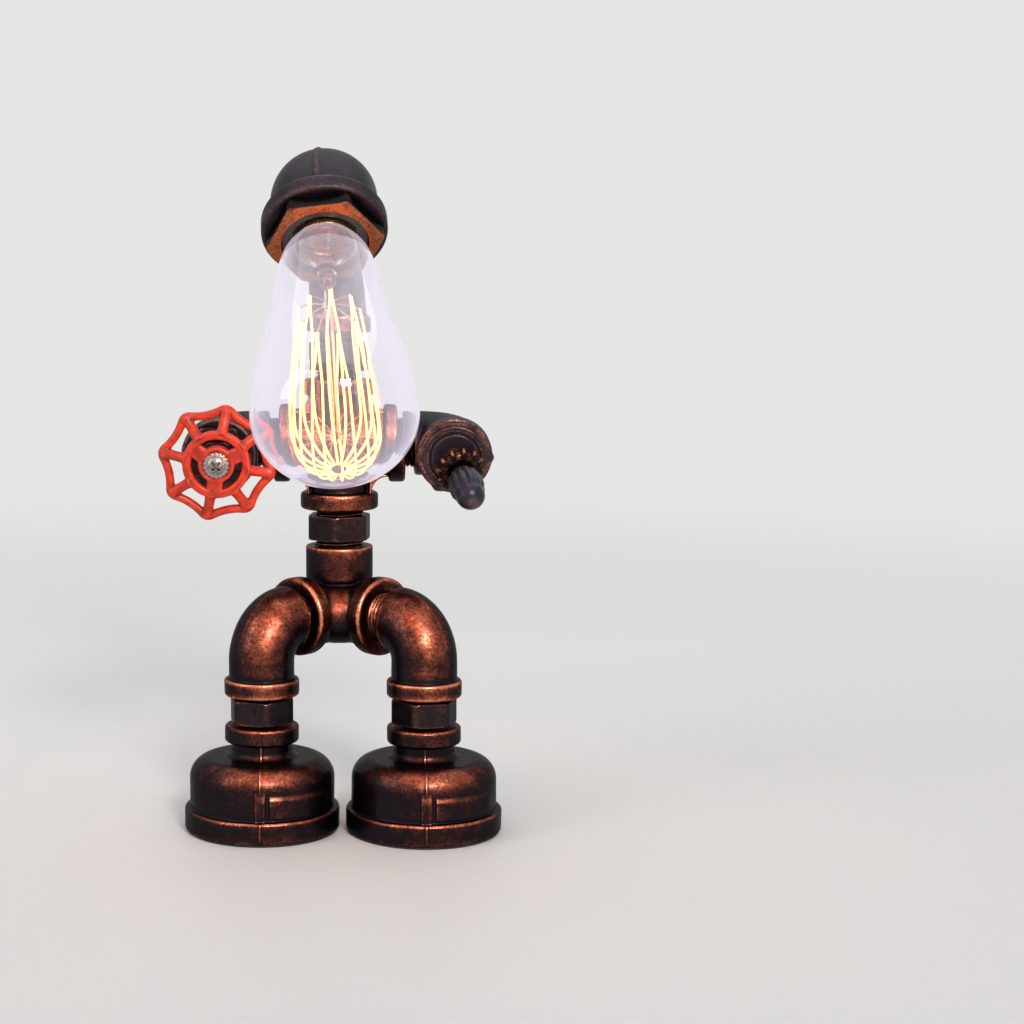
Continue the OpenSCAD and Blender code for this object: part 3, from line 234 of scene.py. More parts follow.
def meshFrom(name, shells, matrix):
    # shells are grids of points in millimetres; a grid whose ends don't meet has a point at each end
    allPoints, allFaces, start = [], [], 0
    for grid in shells:
        loop = not (np.ptp(grid[0], axis=0).max() < 1e-6 and np.ptp(grid[-1], axis=0).max() < 1e-6)
        points = grid.reshape(-1, 3)
        faces = gridFaces(*grid.shape[:2], loop)
        if shellVolume(points, faces) < 0:
            faces = faces[:, ::-1]
        allPoints.append(points)
        allFaces.append(faces + start)
        start += len(points)
    points = np.vstack(allPoints) * mm @ matrix[:3, :3].T + matrix[:3, 3]
    faces = np.vstack(allFaces)
    mesh = bpy.data.meshes.new(name)
    mesh.vertices.add(len(points))
    mesh.vertices.foreach_set("co", points.astype(np.float32).ravel())
    mesh.loops.add(faces.size)
    mesh.loops.foreach_set("vertex_index", faces.astype(np.int32).ravel())
    mesh.polygons.add(len(faces))
    mesh.polygons.foreach_set("loop_start", np.arange(0, faces.size, 4, dtype=np.int32))
    mesh.update(calc_edges=True)
    work = bmesh.new()
    work.from_mesh(mesh)
    bmesh.ops.remove_doubles(work, verts=work.verts, dist=2e-6)
    bmesh.ops.dissolve_degenerate(work, dist=1e-7, edges=work.edges)
    work.to_mesh(mesh)
    work.free()
    mesh.validate()
    return mesh


def meshPoints(mesh, kind="co"):
    values = np.zeros(len(mesh.vertices) * 3, np.float32)
    mesh.vertices.foreach_get(kind, values)
    return values.reshape(-1, 3)


def mark(mesh, name, values):
    layer = mesh.attributes.new(name, "FLOAT", "POINT")
    layer.data.foreach_set("value", values.astype(np.float32))


def heightAlong(mesh, matrix):
    # how far each point lies along the matrix's Z axis, in millimetres
    return ((meshPoints(mesh) - matrix[:3, 3]) @ matrix[:3, 2]) / mm


# towards the camera and the key light: faces turned this way get rubbed copper and painted light, faces turned
# away get painted shade
rubDirection = unit([0.12, -0.86, 0.50])


def edgeWear(mesh, fine=0.9, passes=3, rubFrom=rubDirection):
    # wear: how convex the surface is, the normals' spread along the edges, smoothed a few times; it marks worn
    # edges, the bronze's dark patina in hollows, painted shade in the red paint's hollows and dirt in the
    # steel's
    # proud: the same, spread much wider, so that it marks whole beads and rims
    # and a third mark, how squarely the surface faces the front and the key light, the normal's share along the
    # given direction: rubbed copper on the faces turned that way, painted light on that lit side, and painted
    # shade on the sides turned away
    count = len(mesh.vertices)
    points, normals = meshPoints(mesh) / mm, meshPoints(mesh, "normal")
    edges = np.zeros(len(mesh.edges) * 2, np.int32)
    mesh.edges.foreach_get("vertices", edges)
    a, b = edges.reshape(-1, 2).T
    gap = points[b] - points[a]
    bend = np.einsum("ij,ij->i", normals[b] - normals[a], gap) / np.maximum((gap ** 2).sum(1), 1e-4)
    shared = np.bincount(edges, minlength=count).clip(1)
    spread = (np.bincount(a, bend, count) + np.bincount(b, bend, count)) / shared

    def neighbours():
        return (np.bincount(a, spread[b], count) + np.bincount(b, spread[a], count)) / shared

    for step in range(passes):
        spread = 0.5 * spread + 0.5 * neighbours()
    mark(mesh, "wear", np.clip(spread * fine, -1, 1))
    for step in range(30):
        spread = neighbours()
    mark(mesh, "proud", np.clip(spread * fine * 3.3, -1, 1))
    mark(mesh, "rub", np.clip(normals @ rubFrom, 0, 1))


def linked(name, data):
    made = bpy.data.objects.new(name, data)
    bpy.context.scene.collection.objects.link(made)
    return made


def finishPiece(mesh, name, material, body, nodes, slotName, sharpness=38.0, fine=0.9, passes=3,
                rubFrom=rubDirection):
    mesh.materials.clear()
    mesh.materials.append(material)
    mesh.polygons.foreach_set("use_smooth", np.ones(len(mesh.polygons), bool))
    mesh.set_sharp_from_angle(angle=math.radians(sharpness))
    edgeWear(mesh, fine, passes, rubFrom)
    piece = linked(name, mesh)
    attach(piece, body)
    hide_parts(*nodes)
    return piece


def piece(name, shells, matrix, material, body, nodes, slotName, **more):
    return finishPiece(meshFrom(name, shells, matrix), name, material, body, nodes, slotName, **more)


def turnedPiece(name, corners, spacing, count, matrix, material, body, node, slotName, bulge=None, closed=True,
                **more):
    rings = turned(rounded(corners, spacing, closed), count, bulge)
    return piece(name, [rings], matrix, material, body, [node], slotName, **more)


def castSkin(name, node, material, body, slotName, voxel=0.45, smooth=6, shells=None, matrix=None,
             fromNode=True, **more):
    # the node's solid, with shells joined to it, or shells alone, rebuilt in small squares and smoothed
    source = bpy.data.meshes.new(name + "_work")
    work = bmesh.new()
    if fromNode:
        work.from_mesh(frame["nodes"][node].data)
        bmesh.ops.remove_doubles(work, verts=work.verts, dist=1e-6)
    if shells is not None:
        work.from_mesh(meshFrom(name + "_shells", shells, matrix))
    work.to_mesh(source)
    work.free()
    draft = linked(name + "_work", source)
    remesh = draft.modifiers.new("remesh", "REMESH")
    remesh.mode = "VOXEL"
    remesh.voxel_size = voxel * mm
    soften = draft.modifiers.new("soften", "SMOOTH")
    soften.factor = 0.5
    soften.iterations = smooth
    mesh = bpy.data.meshes.new_from_object(draft.evaluated_get(bpy.context.evaluated_depsgraph_get()))
    mesh.name = name
    bpy.data.objects.remove(draft)
    return finishPiece(mesh, name, material, body, [node], slotName, **more)


# finishes
def fill(tree, node, inputs):
    # each input is linked to the socket or set to the value that is given
    for key, value in inputs.items():
        if isinstance(value, bpy.types.NodeSocket):
            tree.links.new(value, node.inputs[key])
        else:
            node.inputs[key].default_value = value
    return node


def addNode(tree, kind, inputs=None, **settings):
    made = tree.nodes.new("ShaderNode" + kind)
    for key, value in settings.items():
        setattr(made, key, value)
    return fill(tree, made, inputs or {})


def newFinish(name):
    material = bpy.data.materials.new(name)
    material.use_nodes = True
    tree = material.node_tree
    shader = next(node for node in tree.nodes if node.type == "BSDF_PRINCIPLED")
    where = addNode(tree, "TexCoord").outputs["Object"]
    return material, tree, shader, where


def ramp(tree, factor, stops):
    made = addNode(tree, "ValToRGB", {"Fac": factor})
    elements = made.color_ramp.elements
    while len(elements) < len(stops):
        elements.new(0.5)
    for element, (position, colour) in zip(elements, stops):
        element.position = position
        element.color = (*colour, 1.0)
    return made.outputs["Color"]


def math2(tree, operation, a, b, clamp=False):
    return addNode(tree, "Math", {0: a, 1: b}, operation=operation, use_clamp=clamp).outputs[0]


def plus(tree, first, *others):
    for other in others:
        first = math2(tree, "ADD", first, other)
    return first


def times(tree, a, b):
    return math2(tree, "MULTIPLY", a, b)


def noise(tree, where, scale, detail, roughness=0.5):
    inputs = {"Vector": where, "Scale": scale, "Detail": detail, "Roughness": roughness}
    return addNode(tree, "TexNoise", inputs).outputs["Fac"]


def marked(tree, name):
    return addNode(tree, "Attribute", attribute_name=name).outputs["Fac"]


def mapped(tree, value, start, end, low, high):
    inputs = {"Value": value, "From Min": start, "From Max": end, "To Min": low, "To Max": high}
    return addNode(tree, "MapRange", inputs).outputs["Result"]


def bumps(tree, height, strength, distance):
    return addNode(tree, "Bump", {"Height": height, "Strength": strength,
                                  "Distance": distance}).outputs["Normal"]


def mixed(tree, share, first, second):
    return addNode(tree, "MixShader", {0: share, 1: first.outputs[0], 2: second.outputs[0]})


def toSurface(tree, shader):
    output = next(node for node in tree.nodes if node.type == "OUTPUT_MATERIAL")
    tree.links.new(shader.outputs[0], output.inputs["Surface"])


def looksStraight(tree):
    # 1 for a ray that looks at it, straight, in a mirror or through glass, and 0 for a ray that is lit by it
    ray = addNode(tree, "LightPath").outputs
    mirrored = math2(tree, "MAXIMUM", ray["Is Glossy Ray"], ray["Is Transmission Ray"])
    return math2(tree, "MAXIMUM", ray["Is Camera Ray"], mirrored)


def grey(value):
    return (value, value, value)


def solid(colour):
    return (*colour, 1.0)


def antiqueMetal(name, **changes):
    # near-black lacquer over copper, which shows where patches + speckle + worn edges + faces turned to the
    # front light reach 0; those faces carry rubbed copper and painted light, and the sides turned away keep
    # painted shade
    look = dict(bronzeLook, **changes)
    material, tree, shader, where = newFinish(name)
    patches = noise(tree, where, look["patchScale"], 6.0, 0.62)
    speckle = noise(tree, where, look["speckleScale"], 5.0, 0.75)
    grain = noise(tree, where, 2600.0, 3.0)
    # copper on faces turned to the front and key light: rubbed copper with painted light, leaving painted shade
    # on the sides
    rubbed = times(tree, math2(tree, "POWER", marked(tree, "rub"), 3.0), look["rubGain"])
    edges = times(tree, marked(tree, "wear"), look["wearGain"])
    worn = plus(tree, edges, times(tree, marked(tree, "proud"), look["proudGain"]))
    base = plus(tree, times(tree, patches, look["patchGain"]), times(tree, speckle, look["speckleGain"]))
    ragged = times(tree, worn, plus(tree, speckle, 0.3))
    level = plus(tree, base, look["bias"], ragged, rubbed)
    copper = mapped(tree, level, 0.0, 1.0, 0.0, 1.0)
    height = plus(tree, times(tree, patches, 0.4), times(tree, speckle, 0.45), times(tree, grain, 0.15))
    fill(tree, shader, {
        "Base Color": ramp(tree, copper, look["stops"]), "Roughness": ramp(tree, copper, look["roughStops"]),
        "Metallic": look["metallic"], "Specular Tint": solid(look["edgeTint"]), "Coat Weight": look["coat"],
        "Coat Roughness": look["coatRoughness"], "Normal": bumps(tree, height, look["bump"], 0.0006)})
    return material


bronzeLook = {
    "patchScale": 190.0, "speckleScale": 900.0, "patchGain": 0.95, "speckleGain": 1.25, "bias": -1.24,
    "wearGain": 1.2, "proudGain": 0.9, "rubGain": 0.74,
    "stops": [(0.0, (0.010, 0.007, 0.010)), (0.22, (0.022, 0.009, 0.010)), (0.48, (0.105, 0.026, 0.016)),
              (0.78, (0.35, 0.086, 0.042)), (1.0, (0.68, 0.225, 0.130))],
    "roughStops": [(0.0, grey(0.42)), (0.5, grey(0.32)), (1.0, grey(0.23))], "metallic": 0.92,
    "edgeTint": (0.27, 0.21, 0.27), "coat": 0.14, "coatRoughness": 0.16, "bump": 0.42,
}
bushingStops = [(0.0, (0.006, 0.004, 0.005)), (0.25, (0.030, 0.012, 0.009)), (0.6, (0.17, 0.054, 0.022)),
                (1.0, (0.44, 0.15, 0.058))]
domeStops = [(0.0, (0.017, 0.012, 0.022)), (0.4, (0.052, 0.034, 0.040)), (0.75, (0.17, 0.070, 0.055)),
             (1.0, (0.48, 0.19, 0.11))]
nippleStops = [(0.0, (0.010, 0.008, 0.010)), (0.4, (0.030, 0.018, 0.018)), (0.75, (0.12, 0.045, 0.032)),
               (1.0, (0.42, 0.15, 0.09))]
bronze = antiqueMetal("antiqueBronze")
nippleBronze = antiqueMetal("nippleBronze", bias=-1.07, rubGain=0.40, wearGain=1.0, proudGain=0.3,
                            stops=nippleStops)
darkBronze = antiqueMetal("darkBronze", bias=-1.26, rubGain=0.24, wearGain=1.0, proudGain=0.5, stops=domeStops,
                          coat=0.36, coatRoughness=0.38, bump=0.9)
nutCopper = antiqueMetal("rosetteCopper", bias=-1.22, patchScale=300.0, rubGain=0.30, wearGain=0.8,
                         proudGain=0.3, stops=bushingStops)
bushingCopper = antiqueMetal("bushingCopper", bias=-1.20, rubGain=0.60, wearGain=0.8, proudGain=0.2,
                             stops=bushingStops)
blackBronze = antiqueMetal("blackBronze", bias=-1.45, rubGain=0.2, wearGain=0.9, proudGain=0.4, stops=domeStops,
                           coat=0.2)


plainLook = {
    "scale": 250.0, "depth": 0.82, "crevice": 0.0, "metallic": 0.0, "specular": 0.5, "coat": 0.0,
    "coatRoughness": 0.1, "grain": 2200.0, "bump": 0.15,
}


def plainFinish(name, **changes):
    # one colour with a slight cloudiness and a fine grain, glossy or dull as the look says, and darker in
    # hollows by the crevice gain: painted shade on the red paint, dirt on the bright steel
    look = dict(plainLook, **changes)
    material, tree, shader, where = newFinish(name)
    cloud = noise(tree, where, look["scale"], 5.0)
    # hollows darker: painted shade on the red paint, dirt on the steel
    shade = plus(tree, cloud, times(tree, marked(tree, "wear"), look["crevice"]))
    dark = tuple(part * look["depth"] for part in look["colour"])
    smooth, rough = grey(look["rough"] * 0.85), grey(min(1.0, look["rough"] * 1.12))
    grain = noise(tree, where, look["grain"], 3.0)
    fill(tree, shader, {
        "Base Color": ramp(tree, shade, [(0.3, dark), (0.7, look["colour"])]),
        "Roughness": ramp(tree, cloud, [(0.3, smooth), (0.7, rough)]), "Metallic": look["metallic"],
        "Specular IOR Level": look["specular"], "Coat Weight": look["coat"],
        "Coat Roughness": look["coatRoughness"], "Normal": bumps(tree, grain, look["bump"], 0.0004)})
    return material


# the wheel's hollows get painted shade through the crevice gain
redPaint = plainFinish("redPaint", colour=(0.54, 0.032, 0.006), rough=0.42, coat=0.16, coatRoughness=0.10,
                       bump=0.3, scale=320.0, grain=900.0, depth=0.36, specular=0.35, crevice=0.6)
padRubber = plainFinish("padRubber", colour=(0.014, 0.013, 0.013), rough=0.7)
brightSteel = plainFinish("brightSteel", colour=(0.42, 0.38, 0.36), rough=0.24, metallic=1.0, depth=0.25,
                          crevice=0.5, scale=500.0)
dullSteel = plainFinish("dullSteel", colour=(0.24, 0.21, 0.19), rough=0.4, metallic=1.0)
blackInsulator = plainFinish("blackInsulator", colour=(0.012, 0.012, 0.012), rough=0.3, coat=0.3)
brassMetal = plainFinish("brassMetal", colour=(0.62, 0.42, 0.16), rough=0.3, metallic=1.0)
capMetal = plainFinish("capMetal", colour=(0.62, 0.46, 0.30), rough=0.28, metallic=1.0)
blackPlastic = plainFinish("blackPlastic", colour=(0.02, 0.02, 0.022), rough=0.5)
leadSheath = plainFinish("leadSheath", colour=(0.018, 0.018, 0.018), rough=0.55)
hookWire = plainFinish("hookWire", colour=(0.42, 0.38, 0.34), rough=0.35, metallic=1.0)


def gripMetal(name):
    # blue-black lacquer that turns bronze in a band at the round end, which the tip attribute marks, and a
    # little on its edges
    material, tree, shader, where = newFinish(name)
    cloud = noise(tree, where, 420.0, 5.0)
    worn = plus(tree, marked(tree, "tip"), times(tree, marked(tree, "wear"), 0.25))
    rubbed = math2(tree, "MULTIPLY", worn, plus(tree, cloud, 0.35), clamp=True)
    stops = [(0.0, (0.018, 0.018, 0.032)), (0.5, (0.038, 0.032, 0.042)), (1.0, (0.19, 0.12, 0.08))]
    fill(tree, shader, {
        "Base Color": ramp(tree, rubbed, stops),
        "Roughness": ramp(tree, cloud, [(0.3, grey(0.32)), (0.7, grey(0.42))]), "Metallic": 0.75,
        "Coat Weight": 0.2, "Coat Roughness": 0.3, "Normal": bumps(tree, cloud, 0.2, 0.0004)})
    return material


gripFinish = gripMetal("gripFinish")


def clearGlass(name, **look):
    # clear glass that lets shadow rays through, with a painted violet sheen that glows and a faint painted glow
    # that follows a noise: the sheen's share grows as the view gets flatter
    material, tree, shader, where = newFinish(name)
    haze = noise(tree, where, 35.0, 2.0)
    fill(tree, shader, {"Base Color": solid(look["tint"]), "Roughness": 0.0, "IOR": look["ior"],
                        "Transmission Weight": 1.0, "Normal": bumps(tree, haze, 0.04, 0.002)})
    flatness = addNode(tree, "LayerWeight", {"Blend": 0.5}).outputs["Facing"]
    # painted sheen: a violet glow at the glass's edges, and a faint painted glow over the whole glass
    share = times(tree, math2(tree, "POWER", flatness, 1.4), look["film"])
    share = plus(tree, share, times(tree, haze, look["veil"]))
    film = addNode(tree, "Emission", {"Color": solid(look["filmTint"]), "Strength": 1.0})
    clear = addNode(tree, "BsdfTransparent", {"Color": solid(look["shadowTint"])})
    shadow = addNode(tree, "LightPath").outputs["Is Shadow Ray"]
    toSurface(tree, mixed(tree, shadow, mixed(tree, share, shader, film), clear))
    return material


bulbGlass = clearGlass("bulbGlass", tint=(0.985, 0.975, 1.0), ior=1.45, shadowTint=(0.95, 0.94, 0.97),
                       film=0.33, veil=0.03, filmTint=(1.0, 0.90, 1.12))
stemGlass = clearGlass("stemGlass", tint=(0.97, 0.75, 0.63), ior=1.28, shadowTint=(0.93, 0.93, 0.95), film=0.0,
                       veil=0.0, filmTint=(1.0, 1.0, 1.0))


def glowing(name, **look):
    # hot wire, warmer near its hooks; it lights more strongly than it looks, so the wire keeps its colour
    material, tree, shader, where = newFinish(name)
    fill(tree, shader, {
        "Emission Color": ramp(tree, marked(tree, "heat"), [(0.0, look["warm"]), (1.0, look["hot"])]),
        "Emission Strength": mapped(tree, looksStraight(tree), 0.0, 1.0, look["glow"], look["strength"]),
        "Base Color": solid(look["warm"])})
    return material


filamentGlow = glowing("filamentGlow", warm=(1.0, 0.42, 0.11), hot=(1.0, 0.57, 0.23), strength=3.4, glow=50.0)
print("finishes made")


# pipe fittings
fitting = {
    "thread": 10.65, "port": 10.73, "way": 7.5, "tube": 14.0, "band": 16.0, "bandWidth": 7.2, "portDepth": 13.0,
    "bend": 16.0, "reach": 31.1, "threadIn": 11.0, "pitch": 1.814, "threadDepth": 0.95, "columns": 112,
    "hexFlat": 12.7,
}


def threadCut(angle, along, pitch, depth):
    # a helix cut: a triangle wave of the place along the axis less the share of a turn
    wave = np.mod(along / pitch - angle / fullTurn, 1.0)
    return -depth * np.clip(np.abs(2 * wave - 1) * 1.25 - 0.12, 0, 1)


def streetElbow(name, matrix, bare, body, node, seed, material=bronze):
    # a bead, tube, bend and male thread swept along the elbow's own line
    f = fitting
    straight = f["reach"] - f["bend"]
    bendEnd = straight + f["bend"] * math.pi / 2
    end = bendEnd + bare + f["threadIn"]
    corners = [(0, f["port"], 0.3), (0, f["band"], 1.3), (f["bandWidth"], f["band"], 1.4),
               (f["bandWidth"], f["tube"], 1.0), (bendEnd - 0.2, f["tube"], 1.2),
               (bendEnd + 0.3, f["thread"], 0.3), (end, f["thread"] - 0.1, 0.4), (end, f["way"], 0.3),
               (f["portDepth"], f["way"], 0.3), (f["portDepth"], f["port"], 0.3)]
    profile = rounded(corners, spacing=0.34)

    def path(s):
        angle = np.clip((s - straight) / f["bend"], 0, math.pi / 2)
        over = np.clip(s - bendEnd, 0, None)
        zero = 0 * s
        down = np.clip(s, None, straight)
        out, height = f["bend"] * (1 - np.cos(angle)) + over, f["reach"] - down - f["bend"] * np.sin(angle)
        up = np.stack([-np.cos(angle), zero, -np.sin(angle)], -1)
        return np.stack([out, zero, height], -1), up, np.stack([zero, zero + 1, zero], -1)

    def bulge(angle, s, r):
        cut = threadCut(angle, s, f["pitch"], f["threadDepth"])
        onThread = (s > bendEnd + 0.5) & (r > f["thread"] - 0.4) & (r < f["thread"] + 0.2)
        onTube = (r > f["thread"] + 0.5) & (s > 1)
        seam = 0.16 * np.exp(-(np.sin(angle) * r / 0.45) ** 2) * (s > f["bandWidth"] + 1)
        uneven = 0.10 * lumps(np.stack([s, r * np.cos(angle), r * np.sin(angle)], -1), 26.0, seed)
        return np.where(onThread, cut, 0) + np.where(onTube, seam * (r > 12) + uneven, 0)

    piece(name, [swept(profile, path, f["columns"], bulge)], matrix, material, body, [node], "bronze")


cornerRatio = 1.1547  # a hexagon's width across its corners over its width across its flats


def hexRadius(angle, flat, ease, crispness, turn=0.0):
    # flat / cos of the angle from the nearest flat's middle, with the corners eased by a soft minimum
    wrapped = np.mod(angle - math.radians(turn) + math.pi / 6, math.pi / 3) - math.pi / 6
    wrapped = np.abs(wrapped) - math.pi / 6
    corner = flat * cornerRatio - ease
    return corner - np.logaddexp(0, (corner - flat / np.cos(wrapped)) * crispness) / crispness


def hexNipple(name, matrix, gap, hexHeight, turn, node):
    # threads above and below a hexagon whose corners are rubbed round; its ends lie inside the ports
    f = fitting
    half = gap / 2 + f["threadIn"]
    edge, flat = hexHeight / 2, f["hexFlat"]
    below = np.linspace(-half, -edge, 110)
    below[-1] += 0.001
    rows = np.concatenate([below, np.linspace(-edge, edge, 50), -below[::-1], np.linspace(half, -half, 40)])
    kind = np.repeat(["thread", "hexagon", "thread", "way"], [110, 50, 110, 40])[:, None]
    angle = fullCircle(f["columns"] + 8)
    z = rows[:, None] + 0 * angle
    tip = np.clip((half - np.abs(z)) / 1.2, 0, 1) * 0.6 - 0.6
    thread = f["thread"] + tip + threadCut(angle, z, f["pitch"], f["threadDepth"])
    chamfer = flat * cornerRatio + 0.9 - np.clip(np.abs(z) - edge + 2.0, 0, None) * 0.95
    hexagon = np.minimum(hexRadius(angle, flat, 0.45, 9, turn), chamfer)
    r = np.select([kind == "thread", kind == "hexagon"], [thread, hexagon], f["way"])
    piece(name, [aroundZ(r, angle, z)], matrix, nippleBronze, "base", [node], "bronze", sharpness=45.0)


# feet
foot = {
    "floor": 1.0, "seat": 32.5, "rim": 33.3, "body": 31.0, "bore": 24.2, "rimTop": 10.0, "shoulderTop": 31.8,
    "shoulder": 13.0, "neck": 12.9, "fillet": 8.5, "bandLow": 38.3, "band": 15.85, "top": 45.5, "boreTop": 26.5,
    "boreFillet": 7.5, "columns": 330, "soleRadius": 32.4, "barHalf": 2.1, "barOut": 0.85, "barTop": 21.5,
    "barLow": 10.6, "seamHalf": 0.45, "seamOut": 0.35, "plateFrom": 7.5, "plateTo": 69.0, "plateLow": 11.4,
    "plateTop": 21.5, "plateOut": 0.8,
}


def crowded(edges, count, width):
    # count angles round a turn, packed closer near the edges: even steps on the sum of a line and steep steps
    fine = np.linspace(0, fullTurn, 7200)
    density = 1 + 0 * fine
    for edge in edges:
        away = np.mod(fine - edge + math.pi, fullTurn) - math.pi
        density += 6 * np.exp(-(away / width) ** 2)
    total = np.concatenate([[0], np.cumsum(0.5 * (density[1:] + density[:-1]))])
    return np.interp(np.linspace(0, total[-1], count, endpoint=False), total, fine)


def bellFoot(side, seed):
    # a bell turned round Z, with a bar, a thin seam and a raised pad added to its radius at front and back
    k, f = foot, fitting
    fronts = (-math.pi / 2, math.pi / 2)
    barAt = k["barHalf"] / k["body"]
    marks = [0.0, barAt, -barAt, math.radians(k["plateFrom"]), math.radians(k["plateTo"])]
    angles = crowded([front + mark for front in fronts for mark in marks], k["columns"], 0.03)
    floor, shoulder, seat = k["floor"], k["shoulderTop"], k["seat"]
    corners = [(k["bore"], floor, 0.4), (k["rim"], floor, 1.0), (k["rim"], k["rimTop"], 1.3),
               (k["body"], k["rimTop"] + 0.5, 0.7), (k["body"], shoulder, k["shoulder"]),
               (k["neck"], shoulder, k["fillet"]), (k["neck"], k["bandLow"], 0.7),
               (k["band"], k["bandLow"], 1.2), (k["band"], k["top"], 1.2), (f["port"], k["top"], 0.3),
               (f["port"], seat, 0.3), (f["way"], seat, 0.3), (f["way"], k["boreTop"], 0.5),
               (k["bore"], k["boreTop"], k["boreFillet"])]
    profile = rounded(corners, spacing=0.62)
    keep = (profile[:, 0] > k["bore"] + 1) & (profile[:, 1] < shoulder)
    between = 0.5 * (profile + np.roll(profile, -1, 0))[keep]
    profile = np.insert(profile, np.flatnonzero(keep) + 1, between, 0)

    def bulge(angle, r, z):
        onNeck = (r > k["neck"] - 0.5) & (z > shoulder - 4) & (r < k["bore"] + 1.5)
        outside = ((r > k["bore"] + 1) | onNeck) & (z < k["bandLow"] - 0.5)
        added = [0 * r]
        for front in fronts:
            away = np.mod(angle - front + math.pi, fullTurn) - math.pi
            across, degrees = np.abs(away * r), np.degrees(away)
            bar = k["barOut"] * smoothFall(across, k["barHalf"] - 0.2, k["barHalf"] + 0.2)
            bar = bar * smoothStep(z, k["barLow"] - 0.4, k["barLow"])
            bar = bar * smoothFall(z, k["barTop"] - 3, k["barTop"] + 2)
            seam = k["seamOut"] * smoothFall(across, k["seamHalf"] - 0.3, k["seamHalf"] + 0.35) * (z > 2)
            plate = k["plateOut"] * smoothStep(degrees, k["plateFrom"] - 0.35, k["plateFrom"] + 0.35)
            plate = plate * smoothFall(degrees, k["plateTo"] - 14, k["plateTo"])
            plate = plate * smoothStep(z, k["plateLow"] - 0.15, k["plateLow"] + 0.3)
            plate = plate * smoothFall(z, k["plateTop"] - 2.5, k["plateTop"])
            added += [bar, seam, plate]
        uneven = 0.12 * lumps(aroundZ(r, angle, z), 30.0, seed) * ((r > k["neck"] - 0.5) & (z > 1.5))
        return np.where(outside, np.max(added, axis=0), 0) + uneven

    bell = turned(profile, bulge=bulge, angles=angles)
    # the feet's copper and painted lit side face up the shoulders, so their upright sides keep painted shade
    piece(side + "_foot_casting", [bell], legs[side], bronze, "base", [side + "_foot"], "bronze", fine=0.34,
          rubFrom=unit([0.1, -0.76, 0.64]))


def solePad(side):
    # a thin disc with a soft edge
    outer = foot["soleRadius"]
    corners = [(0, 0, 0), (outer, 0, 0.3), (outer, 1.0, 0.3), (0, 1.0, 0)]
    turnedPiece(side + "_sole", corners, 2.0, 96, legs[side], padRubber, "base", side + "_foot_pad",
                "pad_rubber", closed=False)


# the seed of the unevenness, the turn of the ankle's hexagon, and how much of the elbow's thread shows
for side, seed, hexTurn, bare in (("left", 3, -20.4, 2.9), ("right", 8, 12.0, 7.1)):
    bellFoot(side, seed)
    solePad(side)
    hexNipple(side + "_ankle", shifted(legs[side], z=layout["ankleHeight"]), 12.8, 10.2, hexTurn,
              side + "_ankle_nipple")
    inwards = torsoPoint - legs[side][:3, 3]
    knee = place(legs[side][:3, 3] + upwards * layout["pelvisHeight"] * mm, -upwards, inwards)
    streetElbow(side + "_leg", knee, bare, "base", side + "_leg_elbow", seed + 20)
print("feet and legs made")


# torso, neck and head castings
def saddle():
    # fills the corner between the two leg ports: an oval bar from side to side, round the ports' height
    angle = fullCircle(72)
    across = np.array([-4.2, -3.6, 0.0, 3.6, 4.2])[:, None]
    grown = np.array([0.96, 1.0, 1.0, 1.0, 0.96])[:, None]
    return capped(np.stack([across + 0 * angle, -8.0 + 15.6 * grown * np.cos(angle),
                            13.4 * grown * np.sin(angle)], -1))


castSkin("hips", "pelvis", bronze, "base", "bronze", voxel=0.42, smooth=16, shells=[saddle()],
         matrix=shifted(torso, z=layout["pelvisHeight"]), fine=0.7)
castSkin("chest", "cross", bronze, "base", "bronze", voxel=0.48, smooth=9, fine=0.66)
castSkin("neck_bend", "neck_elbow", bronze, "neck", "bronze", voxel=0.42)
# the dome's copper and painted lit side face upwards
castSkin("head_dome", "head_casting", darkBronze, "head", "dark_bronze", voxel=0.45,
         rubFrom=unit([0.1, -0.35, 0.93]))
hexNipple("waist", shifted(torso, z=layout["waistHeight"]), 16.4, 10.6, 20.9, "waist_nipple")
hexNipple("neck_hex", shifted(torso, z=layout["neckNippleHeight"]), 20.0, 11.0, 8.0, "neck_nipple")


def closeNipple():
    # a short thread between the neck and the head
    f = fitting
    half = layout["headGap"] / 2 + f["threadIn"]
    end = f["thread"] - 0.3
    corners = [(f["way"], -half, 0.3), (end, -half, 0.4), (f["thread"], -half + 2, 0),
               (f["thread"], half - 2, 0), (end, half, 0.4), (f["way"], half, 0.3)]

    def bulge(angle, r, z):
        return np.where(r > f["thread"] - 0.5, threadCut(angle, z, f["pitch"], f["threadDepth"]), 0)

    matrix = shifted(leanPlace, z=layout["neckReach"] + layout["headGap"] / 2)
    turnedPiece("head_thread", corners, 0.22, f["columns"], matrix, bronze, "neck", "head_nipple", "bronze",
                bulge, sharpness=45.0)


closeNipple()

mouthHex = {
    "flat": 21.1, "out": 6.2, "face": 31.6, "bore": 17.6, "thread": 19.7, "threadLength": 13.0, "pitch": 2.3,
    "threadDepth": 1.0, "columns": 168,
}


